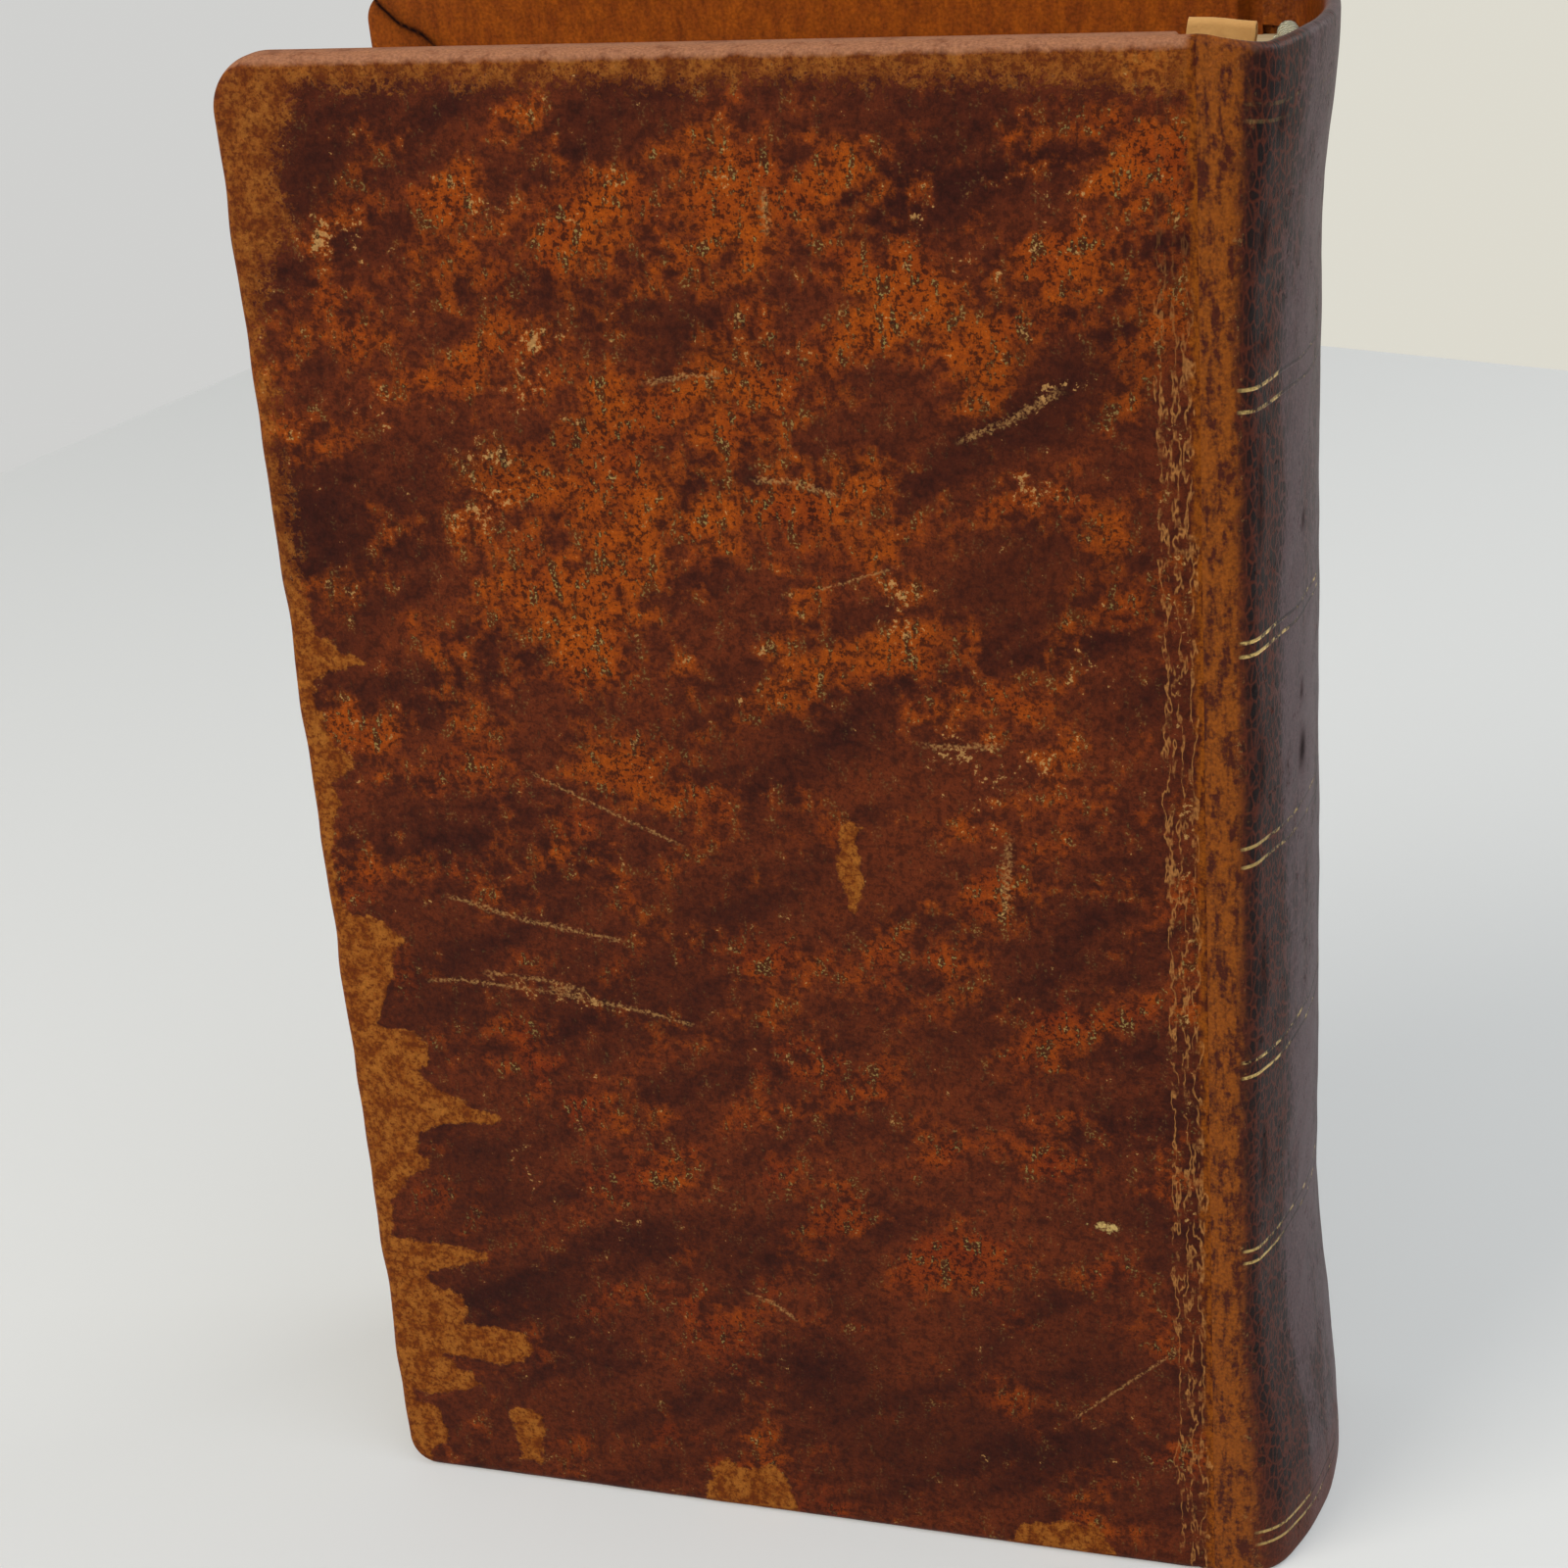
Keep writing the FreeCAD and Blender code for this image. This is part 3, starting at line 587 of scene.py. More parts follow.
@dataclass(frozen=True)
class MottledCalf(Finish):
    """Calf stained in streams and islands, waxed and rubbed, with worn tan edges and a gilt spine.

    The stain leaves smooth dark streams between orange islands full of fine black specks. Where the
    surface is rubbed off, the paler skin below shows, dull and slightly sunk.
    """

    stream_dark: str = "#36130a"
    stream_light: str = "#5e270f"
    island_red: str = "#702809"
    island_orange: str = "#944306"
    shade: str = "#280d08"
    speck: str = "#200a05"
    clot: str = "#1f160c"
    # painted shade inside the worm hole, the dents and the mitre creases
    pit: str = "#140604"
    clot_fleck: str = "#84703e"
    scuff: str = "#a67c48"
    worn: str = "#7d400e"
    worn_light: str = "#94591e"
    worn_dark: str = "#58260a"
    # partly rubbed wear, partly a painted highlight on the rounded edges
    bloom: str = "#996a4e"
    turned_in: str = "#844109"
    turned_in_dark: str = "#6a300a"
    band: str = "#7c4008"
    band_dark: str = "#421706"
    crack: str = "#b0783e"
    spine_dark: str = "#120503"
    spine_light: str = "#4c1d0b"
    # painted sheen: grey reflection along the spine's curve
    spine_grey: str = "#524042"
    gilt: str = "#c9a968"
    shine: float = 0.1  # strength of the reflection, low on dull leather
    crack_places: tuple[float, ...] = (-2.3, -1.0, 0.3)  # millimetres past the hinge line
    crack_swing: float = 4.2  # how far the cracks wander to and fro, in millimetres
    fillets: tuple[GiltFillet, ...] = (
        GiltFillet(173.0, 171.4, 0.1), GiltFillet(145.4, 143.1, 0.8), GiltFillet(118.7, 117.2, 1.0),
        GiltFillet(95.3, 93.2, 0.7), GiltFillet(69.4, 67.5, 1.0), GiltFillet(45.1, 43.5, 0.9),
        GiltFillet(6.0, 4.3, 0.8),
    )

    @staticmethod
    def grain(tree: bpy.types.NodeTree) -> Grain:
        """Adds the patterns that the rest of the finish shares.

        Args:
            tree: The material's tree.

        Returns:
            The patterns.
        """
        place = add(tree, MARK, attribute_name="hide_place", output="Vector")
        net = add(tree, "ShaderNodeMapping", {"Vector": place, "Scale": (1.25, 1.25, 0.6)})
        net = add(tree, "ShaderNodeTexVoronoi", {"Vector": net, "Scale": 1.0}, "Distance",
                  feature="DISTANCE_TO_EDGE")
        past = add(tree, MARK, attribute_name="past_joint", output="Fac")
        height = add(tree, "ShaderNodeSeparateXYZ", {0: place}, "Z")
        blotch = add(tree, NOISE, {"Vector": place, "Scale": 1 / 2.3, "Detail": 4.0, "Roughness": 0.66})
        crumb = add(tree, NOISE, {"Vector": place, "Scale": 1 / 0.75, "Detail": 2.5, "Roughness": 0.7})
        pore = add(tree, NOISE, {"Vector": place, "Scale": 1 / 0.36, "Detail": 1.0, "Roughness": 0.6})
        tall = add(tree, "ShaderNodeMapping", {"Vector": place, "Scale": (1.0, 1.0, 0.32)})
        upright = add(tree, NOISE, {"Vector": tall, "Scale": 1 / 1.1, "Detail": 2.0, "Roughness": 0.65},
                      "Color")
        parts = add(tree, "ShaderNodeSeparateColor", {0: upright}).node.outputs
        return Grain(past, height, blotch, crumb, pore, (parts[0], parts[1], parts[2]), net)

    def stain(self, tree: bpy.types.NodeTree, grain: Grain) -> tuple[Socket, Socket]:
        """Streams, islands, clots and specks of the stained skin.

        Args:
            tree: The material's tree.
            grain: The shared patterns.

        Returns:
            Colour, and how far the specks sink the surface.
        """
        stream = add(tree, MARK, attribute_name="stream", output="Fac")
        tide = add(tree, MATH, {0: grain.blotch, 1: 0.7, 2: stream}, operation="MULTIPLY_ADD")
        tide = add(tree, RANGE, {"Value": tide, "From Min": 0.45, "From Max": 1.05})
        base = add(tree, MIX, {"Fac": tide, "Color1": self.stream_dark, "Color2": self.stream_light})

        lift = add(tree, MARK, attribute_name="islands", output="Fac")
        lift = add(tree, MATH, {0: grain.blotch, 1: 1.9, 2: lift}, operation="MULTIPLY_ADD")
        island = add(tree, RANGE, {"Value": lift, "From Min": 1.0, "From Max": 1.72},
                     interpolation_type="SMOOTHSTEP")
        glow = add(tree, MARK, attribute_name="glow", output="Fac")
        glow = add(tree, MATH, {0: grain.blotch, 1: 0.8, 2: glow}, operation="MULTIPLY_ADD")
        glow = add(tree, RANGE, {"Value": glow, "From Min": 0.45, "From Max": 1.1})
        patch = add(tree, MIX, {"Fac": glow, "Color1": self.island_red, "Color2": self.island_orange})
        colour = add(tree, MIX, {"Fac": island, "Color1": base, "Color2": patch})

        # Where the blotches dip, the specks crowd together into black clots.
        low = add(tree, MATH, {0: grain.blotch, 1: -0.62, 2: grain.crumb}, operation="MULTIPLY_ADD")
        dots = add(tree, MATH, {0: grain.pore, 1: 0.5, 2: low}, operation="MULTIPLY_ADD")
        speck = add(tree, RANGE, {"Value": dots, "From Min": 0.43, "From Max": 0.56})
        share = add(tree, MATH, {0: island, 1: 0.3, 2: 0.56}, operation="MULTIPLY_ADD")
        speck = add(tree, MATH, {0: speck, 1: share}, operation="MULTIPLY")
        colour = add(tree, MIX, {"Fac": speck, "Color1": colour, "Color2": self.speck})
        clot = add(tree, MATH, {0: grain.upright[2], 1: -0.9, 2: grain.blotch}, operation="MULTIPLY_ADD")
        clot = add(tree, RANGE, {"Value": clot, "From Min": 0.115, "From Max": 0.2},
                   interpolation_type="SMOOTHSTEP")
        share = add(tree, MATH, {0: island, 1: 0.62, 2: 0.14}, operation="MULTIPLY_ADD")
        clot = add(tree, MATH, {0: clot, 1: share}, operation="MULTIPLY")
        colour = add(tree, MIX, {"Fac": clot, "Color1": colour, "Color2": self.clot})
        crust = add(tree, RANGE, {"Value": grain.pore, "From Min": 0.54, "From Max": 0.62})
        crust = add(tree, MATH, {0: crust, 1: clot}, operation="MULTIPLY")
        colour = add(tree, MIX, {"Fac": crust, "Color1": colour, "Color2": self.clot_fleck})
        dark = add(tree, MARK, attribute_name="shades", output="Fac")
        ragged = add(tree, MATH, {0: grain.blotch, 1: 1.5}, operation="MULTIPLY")
        dark = add(tree, MATH, {0: dark, 1: ragged}, operation="MULTIPLY", use_clamp=True)
        colour = add(tree, MIX, {"Fac": dark, "Color1": colour, "Color2": self.shade})
        return colour, speck

    def rubbing(self, tree: bpy.types.NodeTree, grain: Grain,
                colour: Socket) -> tuple[Socket, Socket, Socket]:
        """Tan flecks, scratches, worn patches with ragged or stippled borders, and lightened edges that are
        partly rubbed and partly a painted highlight.

        Args:
            tree: The material's tree.
            grain: The shared patterns.
            colour: Colour of the unworn skin.

        Returns:
            Colour, share of worn skin, and share of scuff.
        """
        near = add(tree, MARK, attribute_name="scuffs", output="Fac")
        chips = add(tree, MATH, {0: near, 1: 0.21, 2: grain.blotch}, operation="MULTIPLY_ADD")
        chips = add(tree, MATH, {0: grain.crumb, 1: -1.15, 2: chips}, operation="MULTIPLY_ADD")
        fleck = add(tree, RANGE, {"Value": chips, "From Min": 0.195, "From Max": 0.27})
        side = add(tree, MARK, attribute_name="scratch_side", output="Fac")
        shown = add(tree, MARK, attribute_name="scratch_near", output="Fac")
        side = add(tree, MATH, {0: grain.crumb, 1: 1.5, 2: side}, operation="MULTIPLY_ADD")
        side = add(tree, MATH, {0: side, 1: 0.75}, operation="SUBTRACT")
        side = add(tree, MATH, {0: side}, operation="ABSOLUTE")
        line = add(tree, RANGE, {"Value": side, "From Min": 0.34, "From Max": 0.08, "To Max": 0.6})
        broken = add(tree, RANGE, {"Value": grain.pore, "From Min": 0.38, "From Max": 0.56})
        line = add(tree, MATH, {0: line, 1: shown}, operation="MULTIPLY")
        line = add(tree, MATH, {0: line, 1: broken}, operation="MULTIPLY")
        scuff = add(tree, MATH, {0: fleck, 1: line}, operation="MAXIMUM")
        soft = add(tree, MATH, {0: scuff, 1: 0.8}, operation="MULTIPLY")
        colour = add(tree, MIX, {"Fac": soft, "Color1": colour, "Color2": self.scuff})

        depth = add(tree, MARK, attribute_name="wear", output="Fac")
        stipple = add(tree, MARK, attribute_name="stipple", output="Fac")
        coarse = add(tree, MATH, {0: grain.blotch, 1: 0.5}, operation="SUBTRACT")
        fine = add(tree, MATH, {0: grain.crumb, 1: 0.5}, operation="SUBTRACT")
        fine = add(tree, MATH, {0: fine, 1: stipple}, operation="MULTIPLY")
        depth = add(tree, MATH, {0: coarse, 1: 3.0, 2: depth}, operation="MULTIPLY_ADD")
        depth = add(tree, MATH, {0: fine, 1: 11.0, 2: depth}, operation="MULTIPLY_ADD")
        softness = add(tree, MATH, {0: stipple, 1: -0.74, 2: 1.0}, operation="MULTIPLY_ADD")
        depth = add(tree, MATH, {0: depth, 1: softness}, operation="MULTIPLY")
        worn = add(tree, RANGE, {"Value": depth, "From Min": -0.15, "From Max": 0.2},
                   interpolation_type="SMOOTHSTEP")
        thin = add(tree, MATH, {0: stipple, 1: -0.25, 2: 1.0}, operation="MULTIPLY_ADD")
        worn = add(tree, MATH, {0: worn, 1: thin}, operation="MULTIPLY")
        patches = add(tree, RANGE, {"Value": grain.blotch, "From Min": 0.4, "From Max": 0.6})
        skin = add(tree, MIX, {"Fac": patches, "Color1": self.worn, "Color2": self.worn_light})
        dirt = add(tree, MATH, {0: grain.pore, 1: 0.6, 2: grain.crumb}, operation="MULTIPLY_ADD")
        dirt = add(tree, MATH, {0: grain.blotch, 1: -0.55, 2: dirt}, operation="MULTIPLY_ADD")
        dirt = add(tree, RANGE, {"Value": dirt, "From Min": 0.45, "From Max": 0.64, "To Max": 0.92})
        skin = add(tree, MIX, {"Fac": dirt, "Color1": skin, "Color2": self.worn_dark})
        colour = add(tree, MIX, {"Fac": worn, "Color1": colour, "Color2": skin})
        # The rounded edges are lightened: partly rubbed wear, partly a painted highlight.
        edge = add(tree, MARK, attribute_name="edge", output="Fac")
        rub_and_highlight_share = add(tree, MATH, {0: grain.blotch, 1: edge}, operation="MULTIPLY")
        rub_and_highlight_share = add(tree, RANGE, {"Value": rub_and_highlight_share, "From Min": 0.28, "From Max": 0.6, "To Max": 0.8})
        colour = add(tree, MIX, {"Fac": rub_and_highlight_share, "Color1": colour, "Color2": self.bloom})
        return colour, worn, scuff

    def joint(self, tree: bpy.types.NodeTree, grain: Grain, colour: Socket) -> Socket:
        """Warm worn band and long pale cracks where the cover bends.

        Args:
            tree: The material's tree.
            grain: The shared patterns.
            colour: Colour so far.

        Returns:
            The colour with the joint's wear.
        """
        shift = add(tree, MATH, {0: grain.blotch, 1: 2.6, 2: grain.past}, operation="MULTIPLY_ADD")
        start = add(tree, RANGE, {"Value": shift, "From Min": 1.5, "From Max": 2.4},
                    interpolation_type="SMOOTHSTEP")
        end = add(tree, RANGE, {"Value": shift, "From Min": 7.4, "From Max": 5.6},
                  interpolation_type="SMOOTHSTEP")
        band = add(tree, MATH, {0: start, 1: end}, operation="MULTIPLY")
        pitted = add(tree, MATH, {0: grain.crumb, 1: 0.7, 2: grain.upright[0]}, operation="MULTIPLY_ADD")
        tint = add(tree, RANGE, {"Value": pitted, "From Min": 1.0, "From Max": 0.78})
        warm = add(tree, MIX, {"Fac": tint, "Color1": self.band_dark, "Color2": self.band})
        colour = add(tree, MIX, {"Fac": band, "Color1": colour, "Color2": warm})
        below = add(tree, RANGE, {"Value": grain.height, "From Min": 162.0, "From Max": 146.0,
                                  "To Min": 0.12})
        for pattern, place in zip(grain.upright, self.crack_places):
            line = add(tree, MATH, {0: pattern, 1: self.crack_swing, 2: grain.past}, operation="MULTIPLY_ADD")
            line = add(tree, MATH, {0: line, 1: place + self.crack_swing / 2}, operation="SUBTRACT")
            line = add(tree, MATH, {0: line}, operation="ABSOLUTE")
            line = add(tree, RANGE, {"Value": line, "From Min": 0.24, "From Max": 0.04, "To Max": 0.6})
            gaps = add(tree, RANGE, {"Value": grain.blotch, "From Min": 0.6, "From Max": 0.46})
            line = add(tree, MATH, {0: line, 1: gaps}, operation="MULTIPLY")
            line = add(tree, MATH, {0: line, 1: below}, operation="MULTIPLY")
            colour = add(tree, MIX, {"Fac": line, "Color1": colour, "Color2": self.crack})
        return colour

    def spine(self, tree: bpy.types.NodeTree, grain: Grain, colour: Socket) -> Socket:
        """Dark polished skin of the spine, with fine upright grain and a painted grey sheen band that stands
        for the reflection along its curve.

        Args:
            tree: The material's tree.
            grain: The shared patterns.
            colour: Colour so far.

        Returns:
            The colour with the spine's tone.
        """
        shift = add(tree, MATH, {0: grain.blotch, 1: 3.0, 2: grain.past}, operation="MULTIPLY_ADD")
        mask = add(tree, RANGE, {"Value": shift, "From Min": 6.0, "From Max": 8.2},
                   interpolation_type="SMOOTHSTEP")
        lines = add(tree, RANGE, {"Value": grain.net, "From Min": 0.16, "From Max": 0.02})
        lines = add(tree, MATH, {0: grain.crumb, 1: lines}, operation="MULTIPLY")
        lines = add(tree, MATH, {0: grain.upright[1], 1: 0.9, 2: lines}, operation="MULTIPLY_ADD")
        lines = add(tree, RANGE, {"Value": lines, "From Min": 0.46, "From Max": 0.9})
        dark = add(tree, MIX, {"Fac": lines, "Color1": self.spine_dark, "Color2": self.spine_light})
        # A painted grey sheen band stands for the reflection along the spine's curve.
        painted_sheen = add(tree, MARK, attribute_name="glow", output="Fac")
        painted_sheen = add(tree, MATH, {0: grain.upright[2], 1: 0.8, 2: painted_sheen}, operation="MULTIPLY_ADD")
        painted_sheen = add(tree, MATH, {0: lines, 1: 0.35, 2: painted_sheen}, operation="MULTIPLY_ADD")
        painted_sheen = add(tree, RANGE, {"Value": painted_sheen, "From Min": 0.58, "From Max": 1.3, "To Max": 0.9})
        dark = add(tree, MIX, {"Fac": painted_sheen, "Color1": dark, "Color2": self.spine_grey})
        foot = add(tree, RANGE, {"Value": grain.height, "From Min": 11.0, "From Max": 1.0, "To Max": 0.6})
        dark = add(tree, MIX, {"Fac": foot, "Color1": dark, "Color2": self.stream_light})
        return add(tree, MIX, {"Fac": mask, "Color1": colour, "Color2": dark})

    def gilding(self, tree: bpy.types.NodeTree, grain: Grain) -> tuple[Socket, Socket]:
        """Rubbed gilt lines across the spine and flecks of gold on the cover.

        Args:
            tree: The material's tree.
            grain: The shared patterns.

        Returns:
            Share of gold, and share of the pressed lines.
        """
        lean = add(tree, MARK, attribute_name="fillet_lean", output="Fac")
        level = add(tree, MATH, {0: grain.height, 1: lean}, operation="ADD")
        pressed = None
        for fillet in self.fillets:
            middle, half = (fillet.upper + fillet.lower) / 2, (fillet.upper - fillet.lower) / 2
            line = add(tree, MATH, {0: level, 1: middle}, operation="SUBTRACT")
            line = add(tree, MATH, {0: line}, operation="ABSOLUTE")
            line = add(tree, MATH, {0: line, 1: half}, operation="SUBTRACT")
            line = add(tree, MATH, {0: line}, operation="ABSOLUTE")
            line = add(tree, RANGE, {"Value": line, "From Min": 0.25, "From Max": 0.13,
                                     "To Max": fillet.strength})
            pressed = line if pressed is None else add(tree, MATH, {0: pressed, 1: line},
                                                       operation="MAXIMUM")
        near = add(tree, RANGE, {"Value": grain.past, "From Min": 5.0, "From Max": 5.6})
        pressed = add(tree, MATH, {0: pressed, 1: near}, operation="MULTIPLY")
        fade = add(tree, RANGE, {"Value": grain.past, "From Min": 8.0, "From Max": 15.0, "To Max": 0.2})
        left = add(tree, MATH, {0: grain.blotch, 1: fade}, operation="SUBTRACT")
        left = add(tree, MATH, {0: grain.pore, 1: 0.3, 2: left}, operation="MULTIPLY_ADD")
        left = add(tree, RANGE, {"Value": left, "From Min": 0.5, "From Max": 0.64})
        gold = add(tree, MATH, {0: pressed, 1: left}, operation="MULTIPLY")
        flake = add(tree, MARK, attribute_name="gold", output="Fac")
        crumbs = add(tree, MATH, {0: grain.crumb, 1: flake}, operation="MULTIPLY")
        crumbs = add(tree, RANGE, {"Value": crumbs, "From Min": 0.3, "From Max": 0.42})
        return add(tree, MATH, {0: gold, 1: crumbs}, operation="MAXIMUM"), pressed

    def look(self, tree: bpy.types.NodeTree) -> Socket:
        """Lays stain, wear, joint, spine and gilding over one another.

        Args:
            tree: The material's tree.

        Returns:
            The shader.
        """
        grain = self.grain(tree)
        colour, speck = self.stain(tree, grain)
        colour, worn, scuff = self.rubbing(tree, grain, colour)
        colour = self.joint(tree, grain, colour)
        colour = self.spine(tree, grain, colour)
        gold, pressed = self.gilding(tree, grain)
        groove = add(tree, MATH, {0: pressed, 1: 0.6}, operation="MULTIPLY")
        colour = add(tree, MIX, {"Fac": groove, "Color1": colour, "Color2": self.spine_dark})
        colour = add(tree, MIX, {"Fac": gold, "Color1": colour, "Color2": self.gilt})
        turned = add(tree, MARK, attribute_name="turned_in", output="Fac")
        ruts = add(tree, MATH, {0: grain.blotch, 1: 0.8, 2: grain.upright[0]}, operation="MULTIPLY_ADD")
        ruts = add(tree, RANGE, {"Value": ruts, "From Min": 0.7, "From Max": 1.15})
        under = add(tree, MIX, {"Fac": ruts, "Color1": self.turned_in, "Color2": self.turned_in_dark})
        colour = add(tree, MIX, {"Fac": turned, "Color1": colour, "Color2": under})
        # Painted shade of the worm hole, the dents and the mitre creases.
        pits = add(tree, MARK, attribute_name="pits", output="Fac")
        colour = add(tree, MIX, {"Fac": pits, "Color1": colour, "Color2": self.pit})
        fine = add(tree, RANGE, {"Value": grain.pore, "From Min": 0.3, "From Max": 0.7, "To Min": 0.76,
                                 "To Max": 1.24})
        fine = add(tree, "ShaderNodeCombineColor", {0: fine, 1: fine, 2: fine})
        colour = add(tree, MIX, {"Fac": 1.0, "Color1": colour, "Color2": fine}, blend_type="MULTIPLY")

        relief = add(tree, MATH, {0: grain.pore, 1: 0.7, 2: grain.crumb}, operation="MULTIPLY_ADD")
        relief = add(tree, MATH, {0: speck, 1: -0.4, 2: relief}, operation="MULTIPLY_ADD")
        relief = add(tree, MATH, {0: worn, 1: -0.9, 2: relief}, operation="MULTIPLY_ADD")
        relief = add(tree, MATH, {0: pressed, 1: -1.1, 2: relief}, operation="MULTIPLY_ADD")
        bump = add(tree, "ShaderNodeBump", {"Height": relief, "Strength": 0.9, "Distance": 0.09 * MM})

        rough = add(tree, MATH, {0: worn, 1: 0.25, 2: 0.42}, operation="MULTIPLY_ADD")
        rough = add(tree, MATH, {0: grain.blotch, 1: 0.14, 2: rough}, operation="MULTIPLY_ADD")
        rough = add(tree, MATH, {0: scuff, 1: 0.2, 2: rough}, operation="MULTIPLY_ADD")
        rough = add(tree, MATH, {0: gold, 1: -0.16, 2: rough}, operation="MULTIPLY_ADD")
        rough = add(tree, MATH, {0: pits, 1: 0.6, 2: rough}, operation="MULTIPLY_ADD", use_clamp=True)
        return add(tree, SHADER, {
            "Base Color": colour, "Roughness": rough, "Metallic": gold, "Normal": bump,
            "IOR": 1.45, "Specular IOR Level": self.shine})


@dataclass(frozen=True)
class AgedPaper(Finish):
    """Laid rag paper, foxed and browned, seen on its face or across the edges of the leaves."""

    fresh: str
    browned: str
    fox: str = "#9a6a3a"
    leaf_pitch: float = 0.0  # millimetres from line to line where the edges of the leaves show
    line_depth: float = 0.55

    def look(self, tree: bpy.types.NodeTree) -> Socket:
        """Adds the nodes of the finish.

        Args:
            tree: The material's tree.

        Returns:
            The shader.
        """
        place = self.place(tree)
        cloud = add(tree, NOISE, {"Vector": place, "Scale": 1 / 18, "Detail": 6.0})
        cloud = add(tree, RANGE, {"Value": cloud, "From Min": 0.35, "From Max": 0.7})
        colour = add(tree, MIX, {"Fac": cloud, "Color1": self.fresh, "Color2": self.browned})
        fox = add(tree, NOISE, {"Vector": place, "Scale": 1 / 3.5, "Detail": 3.0})
        fox = add(tree, RANGE, {"Value": fox, "From Min": 0.66, "From Max": 0.76, "To Max": 0.5})
        colour = add(tree, MIX, {"Fac": fox, "Color1": colour, "Color2": self.fox})
        fibre = add(tree, NOISE, {"Vector": place, "Scale": 1 / 0.35, "Detail": 3.0})
        height = fibre
        if self.leaf_pitch:
            thin = add(tree, "ShaderNodeMapping", {
                "Vector": place, "Scale": (0.03, 1 / self.leaf_pitch, 0.03)})
            leaves = add(tree, NOISE, {"Vector": thin, "Scale": 1.0, "Detail": 3.0, "Roughness": 0.7})
            line = add(tree, RANGE, {"Value": leaves, "From Min": 0.42, "From Max": 0.62,
                                     "To Max": self.line_depth})
            colour = add(tree, MIX, {"Fac": line, "Color1": colour, "Color2": self.browned})
            height = leaves
        bump = add(tree, "ShaderNodeBump", {"Height": height, "Strength": 0.6, "Distance": 0.12 * MM})
        return add(tree, SHADER, {
            "Base Color": colour, "Roughness": 0.88, "Normal": bump, "IOR": 1.5})


@dataclass(frozen=True)
class TwistedThread(Finish):
    """Linen or silk thread, and hemp cord: dull, with the strands' twist and a little fluff."""

    colour: str
    shadow: str
    twist: float = 0.5  # millimetres from strand to strand

    def look(self, tree: bpy.types.NodeTree) -> Socket:
        """Adds the nodes of the finish.

        Args:
            tree: The material's tree.

        Returns:
            The shader.
        """
        place = self.place(tree)
        strands = add(tree, "ShaderNodeTexWave", {
            "Vector": place, "Scale": math.tau / 20 / self.twist, "Distortion": 2.0, "Detail": 2.0},
            "Fac", bands_direction="DIAGONAL")
        dirt = add(tree, NOISE, {"Vector": place, "Scale": 1 / 1.2, "Detail": 4.0})
        mixed = add(tree, MATH, {0: strands, 1: dirt}, operation="MULTIPLY")
        mixed = add(tree, RANGE, {"Value": mixed, "From Min": 0.1, "From Max": 0.45})
        colour = add(tree, MIX, {"Fac": mixed, "Color1": self.shadow, "Color2": self.colour})
        bump = add(tree, "ShaderNodeBump", {"Height": strands, "Strength": 0.5, "Distance": 0.08 * MM})
        return add(tree, SHADER, {
            "Base Color": colour, "Roughness": 0.8, "Normal": bump, "Sheen Weight": 0.15})


@dataclass(frozen=True)
class Pasteboard(Finish):
    """Grey-brown board pasted up from waste paper, matt and a little lumpy."""

    colour: str = "#a08f72"
    fleck: str = "#6f6048"

    def look(self, tree: bpy.types.NodeTree) -> Socket:
        """Adds the nodes of the finish.

        Args:
            tree: The material's tree.

        Returns:
            The shader.
        """
        place = self.place(tree)
        pulp = add(tree, NOISE, {"Vector": place, "Scale": 1 / 0.8, "Detail": 5.0})
        share = add(tree, RANGE, {"Value": pulp, "From Min": 0.45, "From Max": 0.7})
        colour = add(tree, MIX, {"Fac": share, "Color1": self.colour, "Color2": self.fleck})
        bump = add(tree, "ShaderNodeBump", {"Height": pulp, "Strength": 0.5, "Distance": 0.1 * MM})
        return add(tree, SHADER, {
            "Base Color": colour, "Roughness": 0.92, "Normal": bump})


